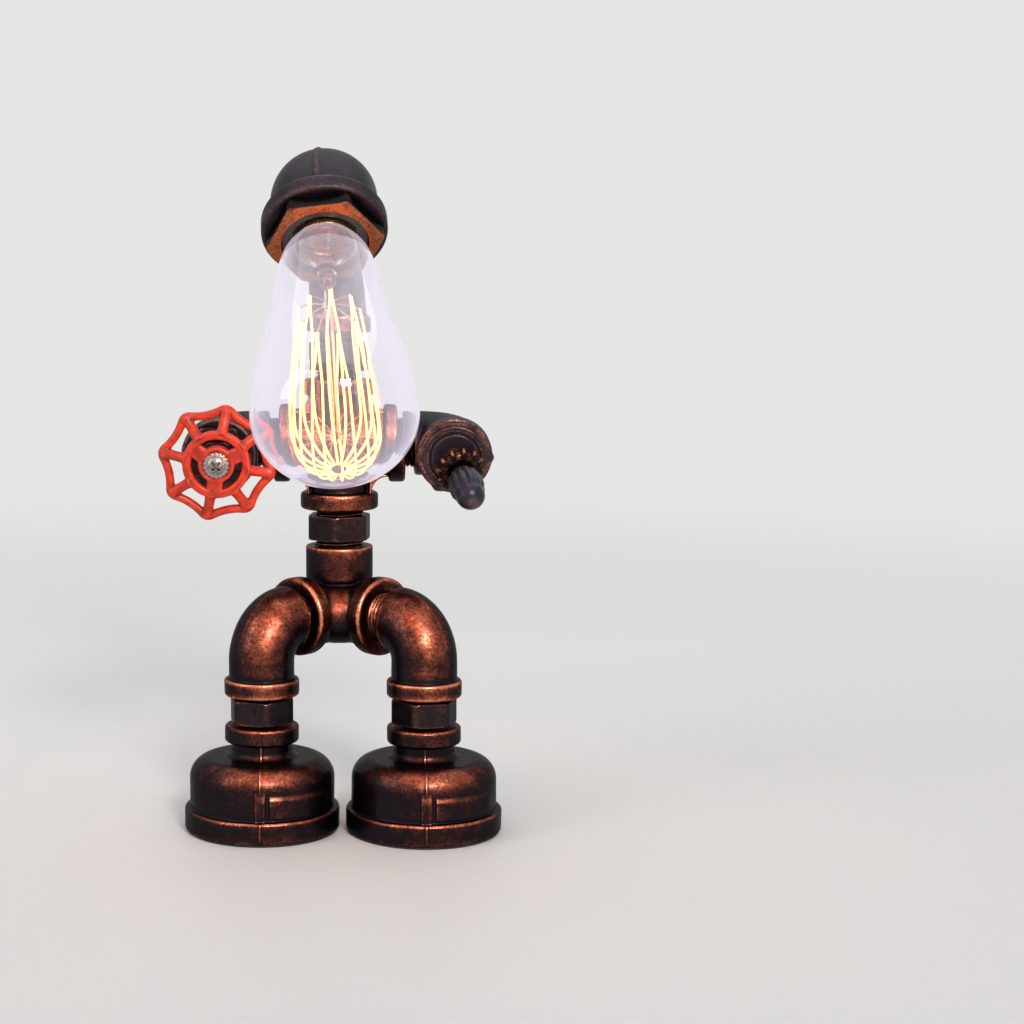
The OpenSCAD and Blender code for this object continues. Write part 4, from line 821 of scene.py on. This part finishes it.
def mouthBushing():
    # a hexagon with chamfered, rubbed corners in front of a threaded barrel, with a wide bore
    k = mouthHex
    back, seat, front = k["face"] - k["threadLength"], k["face"] + 0.2, k["face"] + k["out"]
    rows = np.concatenate([np.linspace(back, seat, 60), np.linspace(seat, front, 34), [front, front, front],
                           np.linspace(front, back, 30)])
    kind = np.repeat([1, 2, 3, 4, 5, 0], [60, 34, 1, 1, 1, 30])[:, None]
    angle = fullCircle(k["columns"])
    z = rows[:, None] + 0 * angle
    hexagon = hexRadius(angle, k["flat"], 0.5, 7)
    hexagon = np.minimum(hexagon, k["flat"] * cornerRatio + 0.6 - np.clip(z - front + 1.6, 0, None) * 1.1)
    hexagon = hexagon - np.clip(z - front + 0.5, 0, None) ** 2 * 1.2
    thread = k["thread"] + threadCut(angle, z, k["pitch"], k["threadDepth"])
    rims = [thread, hexagon, hexagon - 0.25, k["bore"] + 1.2, k["bore"] + 0.3]
    r = np.select([kind == step for step in range(1, 6)], [rim + 0 * z for rim in rims], k["bore"])
    # the bushing's copper and painted lit side face along the mouth, so its flanks keep painted shade
    piece("mouth_hex", [aroundZ(r, angle, z)], mouth, bushingCopper, "head", ["mouth_bushing"],
          "copper_bushing", sharpness=45.0, rubFrom=mouthAxis)


mouthBushing()
print("castings made")

# lamp holder
holder = {
    "front": 36.8, "back": 5.8, "outer": 17.4, "backOuter": 15.5, "ring": 2.0, "ringBore": 14.0,
    "cupBore": 13.85, "step": 20.8, "floor": 9.9, "contactHole": 2.4, "shellInner": 13.3, "shellWall": 0.4,
    "shellLength": 21.0, "shellThread": 0.10,
}
lampPitch = 3.62


def lampThread(angle, z):
    # a wave from 0 to 1 that climbs one pitch in each turn
    return 0.5 + 0.5 * np.cos(fullTurn * (z / lampPitch - angle / fullTurn))


def lampHolder():
    # turned rings round the mouth's axis: clamp ring, insulating cup, and a screw shell with a rolled thread
    k = holder
    face, seat, bore, cup = k["front"], k["front"] - k["ring"], k["ringBore"], k["cupBore"]
    ring = [(bore, seat, 0.2), (k["outer"], seat, 0.3), (k["outer"], face, 0.5), (bore + 0.4, face, 0.4),
            (bore, face - 0.6, 0.2)]
    turnedPiece("holder_ring", ring, 0.6, 128, mouth, blackInsulator, "head", "clamp_ring", "black_insulator")
    front, inner, outer = seat - 0.2, k["shellInner"], k["shellInner"] + k["shellWall"]
    low = front - k["shellLength"]
    shell = [(cup, front, 0.2), (k["outer"], front, 0.3), (k["outer"], k["step"], 0.5),
             (k["backOuter"], k["step"], 0.3), (k["backOuter"], k["back"], 0.8),
             (k["contactHole"], k["back"], 0.2), (k["contactHole"], k["floor"], 0.2), (cup, k["floor"], 0.4)]
    turnedPiece("holder_cup", shell, 1.0, 112, mouth, blackInsulator, "head", "lamp_holder", "black_insulator")

    def roll(angle, r, z):
        inside = smoothStep(z, low + 0.5, low + 2) * smoothFall(z, front - 2, front - 0.5)
        return -k["shellThread"] * inside * lampThread(angle, z)

    sleeve = [(inner, low, 0.1), (outer, low, 0.1), (outer, front, 0.1), (inner, front, 0.1)]
    turnedPiece("holder_screw", sleeve, 0.3, 112, mouth, brassMetal, "head", "screw_shell", "brass", roll)


lampHolder()

# bulb
bulb = {
    "rim": 38.8, "wide": 127.8, "radius": 32.0, "tip": 25.1, "wall": 0.9, "neck": 12.6, "flare": 5.2,
    "capRadius": 13.1, "capLength": 23.0, "capWall": 0.45, "capHole": 5.0, "capThread": 0.55, "collar": 2.4,
    "button": 1.1, "capGap": 0.05, "pairs": 9, "topZ": 75.8, "wideZ": 136.0, "close": 14.4, "strand": 0.42,
    "hook": 0.16, "sag": 5.0, "topRadius": 12.2, "wideRadius": 16.5, "upperButton": 71.8, "lowerButton": 138.8,
    "buttonRadius": 2.6,
}


def bulbRadius(z):
    # a quick flare out of the cap, then a long taper that flattens at the widest ring, then half an ellipse
    k = bulb
    t = np.clip((z - k["rim"]) / (k["wide"] - k["rim"]), 0, 1)
    rest = k["radius"] - k["neck"] - k["flare"]
    curve = 1.1 * t - 1.61 * t ** 2 + 3.92 * t ** 3 - 2.41 * t ** 4
    taper = k["neck"] + k["flare"] * (1 - np.exp(-16 * t)) + rest * curve
    beyond = np.clip((z - k["wide"]) / k["tip"], 0, 1)
    return taper * np.sqrt(1 - beyond ** 2)


def bulbEnvelope():
    # the outer skin goes down to the tip, and the inner skin comes back up one wall thickness inside
    k = bulb
    upper = k["rim"] + (k["wide"] - k["rim"]) * np.linspace(0, 1, 120) ** 1.3
    turn = np.linspace(0, math.pi / 2, 50)[1:]

    def skin(inwards):
        side = np.stack([bulbRadius(upper) - inwards, upper], -1)
        end = np.stack([(k["radius"] - inwards) * np.cos(turn),
                        k["wide"] + (k["tip"] - inwards) * np.sin(turn)], -1)
        end[-1, 0] = 0
        return np.concatenate([side, end])

    rings = turned(np.vstack([skin(0.0)[::-1], skin(k["wall"])]), 160)
    piece("envelope", [rings], mouth, bulbGlass, "bulb", ["bulb_glass"], "bulb_clear", sharpness=80.0)


def bulbCap():
    # a thin sleeve whose radius waves once in each turn of its thread, a collar and a button
    k = bulb
    low, high = k["rim"] - k["capLength"], k["rim"]
    outer, inner, hole = k["capRadius"], k["capRadius"] - k["capWall"], k["capHole"]

    def roll(angle, r, z):
        inside = smoothStep(z, low + 1.5, low + 3) * smoothFall(z, high - 5, high - 3) * (r > 11)
        return -k["capThread"] * inside * lampThread(angle, z)

    floor = low + 0.5
    sleeve = [(hole, low, 0.1), (outer, low, 1.0), (outer, high, 0.2), (inner, high, 0.2), (inner, floor, 0.8),
              (hole, floor, 0.1)]
    turnedPiece("cap_screw", sleeve, 0.3, 128, mouth, capMetal, "bulb", "bulb_cap", "cap_metal", roll)
    bottom, top = low - k["collar"], low - k["capGap"]
    collar = [(0, bottom, 0), (5.5, bottom, 0.5), (10.4, top, 0.3), (0, top, 0)]
    turnedPiece("cap_glass_collar", collar, 1.0, 64, mouth, blackInsulator, "bulb", "cap_insulator",
                "black_insulator", closed=False)
    end, top = bottom - k["button"], bottom - k["capGap"]
    button = [(0, end, 0), (2.6, end, 0.6), (4.6, top, 0.3), (0, top, 0)]
    turnedPiece("cap_button", button, 0.6, 48, mouth, capMetal, "bulb", "cap_tip", "cap_metal", closed=False)


def bulbStem():
    # a thin glass trumpet, its pinch and a rod with two buttons that carry the wires
    k = bulb
    z, upper, lower, button = k["rim"], k["upperButton"], k["lowerButton"], k["buttonRadius"]
    corners = [(0, z + 10.6, 0), (3.2, z + 9.6, 1.5), (10.8, z + 0.3, 0.2), (11.4, z + 0.3, 0.2),
               (4.0, z + 11.5, 3.0), (3.4, z + 21.0, 2.0), (1.5, z + 24.5, 1.2), (1.5, upper - 2.4, 0.4),
               (button, upper, 1.2), (1.5, upper + 2.4, 0.4), (1.5, lower - 2.4, 0.4), (button, lower, 1.2),
               (1.2, lower + 2.4, 0.8), (0, lower + 2.7, 0)]
    turnedPiece("stem", corners, 0.8, 48, mouth, stemGlass, "bulb", "glass_stem", "bulb_clear", closed=False,
                sharpness=60.0)


def cageLine(count):
    # radius and height down a strand: a quarter sine out to the widest place, then an ellipse that turns in
    k = bulb
    rise = np.linspace(0, 1, count)[:-1]
    turn = np.linspace(0, math.radians(80), count // 3)
    side = k["topRadius"] + (k["wideRadius"] - k["topRadius"]) * np.sin(rise * math.pi / 2)
    hanging = np.stack([side, k["topZ"] + (k["wideZ"] - k["topZ"]) * rise], -1)
    closing = np.stack([k["wideRadius"] * np.cos(turn), k["wideZ"] + k["close"] * np.sin(turn)], -1)
    return np.concatenate([hanging, closing])


def bulbFilament():
    # strands hang in pairs from a shared hook, part to meet their neighbours lower down, and close at the end
    k = bulb
    random = np.random.default_rng(11)
    strands, hooks = [], []
    base = cageLine(54)
    share = np.linspace(0, 1, len(base))
    step = fullTurn / k["pairs"]
    level = int(np.argmin(np.abs(base[:, 1] - k["lowerButton"])))
    along = np.linspace(0, 1, 12)[:, None]
    for index in range(k["pairs"]):
        for lean in (-1, 1):
            sway = random.uniform(-0.5, 0.5) * np.sin(share * math.pi) * 0.06
            angle = step * (index + lean * (0.04 + 0.19 * smoothStep(share, 0.0, 0.35))) + sway
            r = base[:, 0] + random.uniform(-0.6, 0.5) * np.sin(share * math.pi) ** 2
            z = base[:, 1] + random.uniform(-0.6, 0.6) * (1 - share)
            line = aroundZ(r, angle, z)
            line[:, 1] -= k["sag"] * smoothStep(z, k["wideZ"] - 8, k["wideZ"] + k["close"])
            strands.append(capped(barAlong(line, k["strand"], 10)))
            for height, end in ((k["upperButton"], line[0]), (k["lowerButton"], line[level])):
                root = aroundZ(k["buttonRadius"] * 0.9, angle[0], height)
                hook = root + (end - root) * along * 0.98 + np.array([0, 0, -0.8]) * np.sin(along * math.pi)
                hooks.append(capped(barAlong(hook, k["hook"], 8)))
    cage = piece("cage", strands, mouth, filamentGlow, "bulb", ["filament"], "filament_glow", sharpness=80.0)
    share = (heightAlong(cage.data, mouth) - k["topZ"]) / (k["wideZ"] + k["close"] - k["topZ"])
    mark(cage.data, "heat", smoothStep(share, -0.05, 0.2) * (1 - 0.75 * smoothStep(share, 0.82, 1.0)))
    piece("hooks", hooks, mouth, hookWire, "bulb", ["filament_hooks"], "hook_wire", sharpness=80.0)


bulbEnvelope()
bulbCap()
bulbStem()
bulbFilament()
print("bulb made")

# arms
streetElbow("valve_arm_bend", leftHand, 6.4, "valve_arm", "valve_elbow", 41, darkBronze)
streetElbow("switch_arm_bend", turnedZ(rightHand, 180.0), 4.1, "switch_arm", "switch_elbow", 47, darkBronze)


def hexDisc(flat, low, high, bore, count=96):
    # a hexagon between two heights, chamfered at both, round its bore
    rows = np.concatenate([[low], np.linspace(low, high, 26), [high, high, low]])
    kind = np.repeat([1, 2, 1, 0], [1, 26, 1, 2])[:, None]
    angle = fullCircle(count)
    z = rows[:, None] + 0 * angle
    chamfer = flat / 2 * cornerRatio - 0.9 + np.minimum(z - low, high - z) * 1.6
    hexagon = np.minimum(hexRadius(angle, flat / 2, 0.3, 9), chamfer)
    r = np.select([kind == 1, kind == 2], [hexagon - 0.3, hexagon], bore)
    return aroundZ(r, angle, z)


def plugBarrel(end):
    # the part of a plug or bonnet that lies in the port
    inner, outer, start = 8.3, fitting["thread"] - 0.1, 20.1
    corners = [(inner, start, 0.2), (outer, start, 0.3), (outer, end, 0), (inner, end, 0)]
    return turned(rounded(corners, spacing=0.8), 96)


valve = {
    "bonnetFlat": 25.4, "bonnetLow": 31.3, "bonnetHigh": 35.7, "nutFlat": 15.0, "nutLow": 35.9, "nutHigh": 40.9,
    "stemHole": 3.1,
}


def valveSet():
    # bonnet and packing nut, both hexagons, on the valve arm
    k = valve
    bonnet = [hexDisc(k["bonnetFlat"], k["bonnetLow"], k["bonnetHigh"], k["stemHole"]), plugBarrel(31.5)]
    piece("bonnet", bonnet, leftHand, blackBronze, "valve_arm", ["valve_bonnet"], "dark_bronze")
    nut = [hexDisc(k["nutFlat"], k["nutLow"], k["nutHigh"], k["stemHole"])]
    piece("gland_nut", nut, leftHand, blackBronze, "valve_arm", ["packing_nut"], "dark_bronze")


valveSet()

wheel = {
    "lobes": 8, "turn": 34.0, "tip": 23.0, "dip": 2.6, "lobe": 3.2, "bar": 1.8, "rise": 4.0, "centre": 45.6,
    "ring": 12.4, "ringHalf": 1.8, "ringThick": 1.8, "hub": 7.5, "hubBack": -1.0, "hubFront": 5.8, "bore": 3.08,
    "webs": 3, "webTurn": 25.0, "webFrom": 5.0, "webHalf": 3.5, "webThick": 1.7, "webCrisp": 0.45,
    "spoke": 2.15, "flare": 0.8, "knuckle": 2.75, "knuckleIn": 0.9,
}


def wheelRimLine():
    # an arc round each lobe, joined by shallow arcs whose middle lies one dip inside the tips
    k = wheel
    half = math.pi / k["lobes"]
    lobeAt, low = k["tip"] - k["lobe"], k["tip"] - k["dip"]
    dipRadius = lobeAt ** 2 + low ** 2 - 2 * lobeAt * low * math.cos(half) - k["lobe"] ** 2
    dipRadius /= 2 * (k["lobe"] + lobeAt * math.cos(half) - low)
    dipAt = low + dipRadius
    lobeArc = math.atan2(dipAt * math.sin(half), dipAt * math.cos(half) - lobeAt)
    a = np.linspace(-lobeArc, lobeArc, 14, endpoint=False)
    b = np.linspace(lobeArc - half, half - lobeArc, 22, endpoint=False)
    turn = np.exp(1j * half)
    one = np.concatenate([lobeAt + k["lobe"] * np.exp(1j * a), (dipAt - dipRadius * np.exp(1j * b)) * turn])
    spins = np.exp(1j * (math.radians(k["turn"]) + 2 * half * np.arange(k["lobes"])))
    line = (spins[:, None] * one[None]).ravel()
    return np.stack([line.real, line.imag, 0 * line.real], -1)


def ball(centre, radius, count):
    # a sphere as rings from pole to pole
    lean = np.linspace(0, math.pi, count)[:, None]
    turn = fullCircle(2 * count)
    return centre + radius * aroundZ(np.sin(lean), turn, np.cos(lean) + 0 * turn)


def handwheelCasting():
    # rim, spokes with round knuckles, raised ring, hub and three webs, grown together in one skin
    k = wheel
    shells = [barAlong(wheelRimLine(), k["bar"], 20, closed=True)]
    share = np.linspace(0, 1, 14)
    radius = k["ring"] + (k["tip"] - k["knuckleIn"] - k["ring"]) * share
    for index in range(k["lobes"]):
        angle = math.radians(k["turn"]) + fullTurn * index / k["lobes"]
        line = aroundZ(radius, angle, k["rise"] * (1 - share))
        shells.append(capped(barAlong(line, k["spoke"] + k["flare"] * np.abs(2 * share - 1) ** 3, 18)))
        shells.append(ball(line[-1], k["knuckle"], 16))
    low, high = k["rise"] - k["ringThick"], k["rise"] + k["ringThick"]
    inner, outer = k["ring"] - k["ringHalf"], k["ring"] + k["ringHalf"]
    ring = [(inner, low, 0.9), (outer, low, 0.9), (outer, high, 1.2), (inner, high, 1.2)]
    shells.append(turned(rounded(ring, spacing=0.5), 120))
    back, front, sunk = k["hubBack"], k["hubFront"], k["hubFront"] - 0.4
    hub = [(k["bore"], back, 0.2), (k["hub"], back, 0.6), (k["hub"], front, 0.9), (6.3, front, 0.3),
           (5.9, sunk, 0.2), (k["bore"], sunk, 0.2)]
    shells.append(turned(rounded(hub, spacing=0.5), 96))
    share = np.linspace(0, 1, 12)[:, None]
    section = fullCircle(24)
    out = k["webFrom"] + (k["ring"] - k["webFrom"]) * share + 0 * section
    wide, tall = [np.sign(wave) * np.abs(wave) ** k["webCrisp"] for wave in (np.cos(section), np.sin(section))]
    across = (1 - 0.08 * np.sin(share * math.pi)) * wide * k["webHalf"]
    height = k["rise"] + 0 * out + tall * k["webThick"]
    for index in range(k["webs"]):
        angle = math.radians(k["webTurn"]) + fullTurn * index / k["webs"]
        x, y = math.cos(angle), math.sin(angle)
        shells.append(capped(np.stack([out * x - across * y, out * y + across * x, height], -1)))
    castSkin("handwheel_casting", "handwheel", redPaint, "wheel", "red_paint", voxel=0.3, smooth=6,
             shells=shells, matrix=shifted(leftHand, z=k["centre"]), fromNode=False)


handwheelCasting()

fastener = {
    "washerBack": 51.4, "washerFront": 52.3, "washerOut": 5.35, "teeth": 18, "toothDepth": 0.45, "dome": 3.3,
    "domeTop": 54.5, "domeRise": 0.75, "crossTurn": 45.0, "crossDepth": 1.3, "stem": 3.0, "stemBack": 26.0,
    "stemFront": 51.1, "holeBack": 44.4,
}


def wheelFastener():
    # toothed washer, screw with a cross recess sunk into a domed head, and the stem behind them
    k = fastener
    angle = fullCircle(160)
    back, front, out = k["washerBack"], k["washerFront"], k["washerOut"]
    rows = np.array([(1.7, back), (4.4, back), (out, back + 0.1), (out, front - 0.3), (4.4, front),
                     (1.7, front)])
    teeth = k["toothDepth"] * smoothStep(np.cos(k["teeth"] * angle), -0.2, 0.4)
    r = rows[:, :1] - np.where(rows[:, :1] > 5, 1, 0) * teeth
    washer = aroundZ(r, angle, rows[:, 1:] + 0 * angle)
    piece("star_washer", [washer], leftHand, brightSteel, "wheel", ["tooth_washer"], "steel")
    dome = np.linspace(0, k["dome"], 34)
    radius = np.concatenate([dome, [3.6, 3.78, 3.8, 3.8, 3.7, 1.5, 1.5, 1.3, 0]])[:, None]
    height = k["domeTop"] - (dome / k["dome"]) ** 2 * k["domeRise"]
    height = np.concatenate([height, [53.55, 53.2, 52.9, 52.45, 52.3, 52.3, 46.2, 45.4, 45.3]])[:, None]
    turn = angle - math.radians(k["crossTurn"])
    across = np.minimum(np.abs(radius * np.sin(turn)), np.abs(radius * np.cos(turn)))
    inSlot = smoothFall(across, 0.35, 0.62) * smoothFall(radius, 1.9, 2.4)
    screw = aroundZ(radius + 0 * angle, angle, height - k["crossDepth"] * inSlot * (height > 53.0))
    piece("cross_screw", [screw], leftHand, brightSteel, "wheel", ["wheel_screw"], "steel", sharpness=32.0)
    stem, low, high, hole = k["stem"], k["stemBack"], k["stemFront"], k["holeBack"]
    rod = [(0, low, 0), (stem, low, 0.3), (stem, high, 0.3), (1.6, high, 0.1), (1.6, hole, 0), (0, hole, 0)]
    turnedPiece("stem_rod", rod, 0.9, 48, leftHand, dullSteel, "wheel", "wheel_stem", "stem_steel",
                closed=False)


wheelFastener()
print("valve arm made")

plug = {
    "flat": 29.2, "low": 31.3, "high": 33.9, "hole": 3.35, "mouth": 36.9, "groove": 35.2, "grooveIn": 10.2,
    "collar": 13.5, "collarTop": 35.7, "ball": 3.2, "rod": 2.0, "rodLength": 22.0,
}


def switchSet():
    # hexagon plug, a wide collar and a mouth ring in steps up to the lever's ball, and the lever's rod
    k = plug
    hole, mouthTop, groove, grooveIn = k["hole"], k["mouth"], k["groove"], k["grooveIn"]
    collar, collarTop, ballRadius, rodRadius = k["collar"], k["collarTop"], k["ball"], k["rod"]
    steps = [(hole, 31.9, 0.1), (hole, 36.1, 0.1), (4.0, mouthTop, 0.2), (grooveIn, mouthTop, 0.6),
             (grooveIn, groove, 0.15), (11.0, groove, 0.15), (11.2, collarTop, 0.2), (collar, collarTop, 0.7),
             (collar, 33.95, 0.4), (4.0, 33.0, 0)]
    hexagon = hexDisc(k["flat"], k["low"], k["high"], hole, 120)
    nut = [hexagon, turned(rounded(steps, spacing=0.5), 112), plugBarrel(31.6)]
    piece("switch_nut", nut, rightHand, blackBronze, "switch_arm", ["switch_plug"], "dark_bronze")
    rod = [(0, -ballRadius, 0), (ballRadius, -ballRadius, 3.1), (ballRadius, 2.3, 2.0), (rodRadius, 3.4, 0.5),
           (rodRadius, k["rodLength"] - 0.4, 0.4), (0, k["rodLength"], 0)]
    turnedPiece("lever_rod", rod, 0.6, 48, lever, brightSteel, "lever", "switch_lever", "steel", closed=False)


rosette = {"hole": 2.1, "back": 6.6, "front": 10.4, "radius": 10.7, "scallops": 12, "depth": 1.7}


def leverRosette():
    # scallops cut round a domed collar
    k = rosette
    hole, back, front = k["hole"], k["back"], k["front"]
    corners = [(hole, back, 0.2), (9.6, back, 0.8), (k["radius"], back + 1, 1.0),
               (k["radius"] - 0.4, front - 0.8, 1.2), (6.5, front, 1.0), (hole, front, 0.2)]

    def scallop(angle, r, z):
        wave = smoothStep(np.cos(k["scallops"] * angle), -0.1, 1.0)
        return -k["depth"] * (1 - wave) * smoothStep(r, 7.0, 10.2)

    turnedPiece("rosette", corners, 0.35, 240, lever, nutCopper, "lever", "lever_rosette", "nut_copper",
                scallop)


grip = {"hole": 2.1, "nose": 6.1, "noseFrom": 25.9, "flutes": 12, "fluteDepth": 0.7, "rubbedFrom": 30.4,
        "rubbedTo": 31.9}


def leverGrip():
    # a bullet-shaped barrel whose shallow flutes die away towards its nose
    k = grip
    turn = np.linspace(0, math.pi / 2, 20)
    nose = np.stack([k["nose"] * np.cos(turn), k["noseFrom"] + k["nose"] * np.sin(turn)], -1)
    barrel = [(k["hole"], 10.5, 0), (4.2, 10.5, 0.8), (6.6, 14.3, 2.5), (7.4, 18.5, 5), (7.2, 22.5, 4),
              (6.3, 25.0, 0)]
    bore = [(0, 31.0, 0), (0, 23.6, 0), (k["hole"], 23.5, 0), (k["hole"], 11.0, 0)]
    profile = np.vstack([rounded(barrel, 0.4, False), nose, rounded(bore, 0.5, False)])

    def flute(angle, r, z):
        wave = (0.5 + 0.5 * np.cos(k["flutes"] * angle)) ** 0.6
        fade = smoothStep(z, 11.5, 15.0) * smoothFall(z, 22.0, 28.5) * smoothStep(r, 4.0, 5.0)
        return -k["fluteDepth"] * (1 - wave) * fade

    made = piece("grip", [turned(profile, 240, flute)], lever, gripFinish, "lever", ["lever_grip"],
                 "grip_blue_black")
    rubbed = smoothStep(heightAlong(made.data, lever), k["rubbedFrom"], k["rubbedTo"])
    mark(made.data, "tip", 0.8 * rubbed)


switchSet()
leverRosette()
leverGrip()
print("switch arm made")

# nodes that keep their own solids
kept = {
    "lead_grommet": padRubber, "centre_contact": brassMetal, "dimmer": blackPlastic,
    "switch_body": blackPlastic, "torso_lead": leadSheath, "neck_lead": leadSheath, "head_lead": leadSheath,
    "valve_lead": leadSheath, "switch_lead": leadSheath,
}
for node, finish in kept.items():
    mesh = frame["nodes"][node].data
    mesh.materials.clear()
    mesh.materials.append(finish)

# studio
studio = {
    "nearTone": 0.47, "farTone": 0.86, "sideTone": 0.45, "fadeFrom": 0.30, "radius": 1.6, "backdrop": 0.79,
    "ambient": 0.36, "cameraAt": (3.18, -865.1, 253.5), "pitch": 82.65, "lens": 75.75, "shift": 0.16855,
    "middle": (0.0, 0.0, 0.14),
}
# where each light stands, its two sizes and its power; all shine at the middle

lamps = {
    "keyBox": ((0.30, -1.05, 0.74), (0.26, 0.26), 9.0), "sideBox": ((-1.0, -0.55, 0.75), (0.5, 1.1), 4.0),
    "topBox": ((0.0, 0.3, 1.4), (1.7, 1.7), 8.0),
}


def paleFloor():
    # a round plain floor with painted shade, darker towards the front and darker under the side light against
    # that light's bright patch, and lighter at the back; it fades out with its distance
    k = studio
    rings = np.concatenate([[0.0], np.linspace(0.1, k["radius"], 24)])[:, None]
    angle = fullCircle(96)
    points = aroundZ(rings, angle, 0 * rings + 0 * angle).reshape(-1, 3)
    mesh = bpy.data.meshes.new("pale_floor")
    mesh.from_pydata(points.tolist(), [], gridFaces(25, 96, False)[:, ::-1].tolist())
    material, tree, shader, where = newFinish("paleFloor")
    away = addNode(tree, "VectorMath", {0: where}, operation="LENGTH").outputs["Value"]
    limits = {"Value": away, "From Min": k["fadeFrom"], "From Max": k["radius"] - 0.3}
    fade = addNode(tree, "MapRange", limits, interpolation_type="SMOOTHSTEP").outputs["Result"]
    spot = addNode(tree, "SeparateXYZ", {"Vector": where}).outputs
    # painted shade towards the front, and painted shade under the side light
    tone = mapped(tree, spot["Y"], -0.55, 0.45, k["nearTone"], k["farTone"])
    underSide = mapped(tree, spot["X"], -0.75, -0.25, k["sideTone"], 1.0)
    fill(tree, shader, {"Base Color": times(tree, tone, underSide), "Roughness": 0.5,
                        "Specular IOR Level": 0.15})
    toSurface(tree, mixed(tree, fade, shader, addNode(tree, "BsdfTransparent")))
    mesh.materials.append(material)
    floor = linked("pale_floor", mesh)


def areaLight(name, location, size, power):
    data = bpy.data.lights.new(name, "AREA")
    data.shape = "RECTANGLE"
    data.size, data.size_y = size
    data.energy = power
    light = linked(name, data)
    back = np.array(location) - studio["middle"]
    light.matrix_world = Matrix(place(location, back, np.cross(upwards, back)).tolist())


paleFloor()
for name, look in lamps.items():
    areaLight(name, *look)

world = bpy.data.worlds.new("studio")
bpy.context.scene.world = world
world.use_nodes = True
sky = world.node_tree
background = next(node for node in sky.nodes if node.type == "BACKGROUND")
strength = mapped(sky, looksStraight(sky), 0.0, 1.0, studio["ambient"], studio["backdrop"])
fill(sky, background, {"Color": (1.0, 1.0, 0.985, 1.0), "Strength": strength})

cameraData = bpy.data.cameras.new("camera")
cameraData.sensor_width = 36.0
cameraData.lens = studio["lens"]
cameraData.shift_x = studio["shift"]
camera = linked("camera", cameraData)
camera.location = [part * mm for part in studio["cameraAt"]]
camera.rotation_euler = (math.radians(studio["pitch"]), 0.0, 0.0)
bpy.context.scene.camera = camera
bpy.context.scene.view_settings.view_transform = "Standard"
print("studio made")
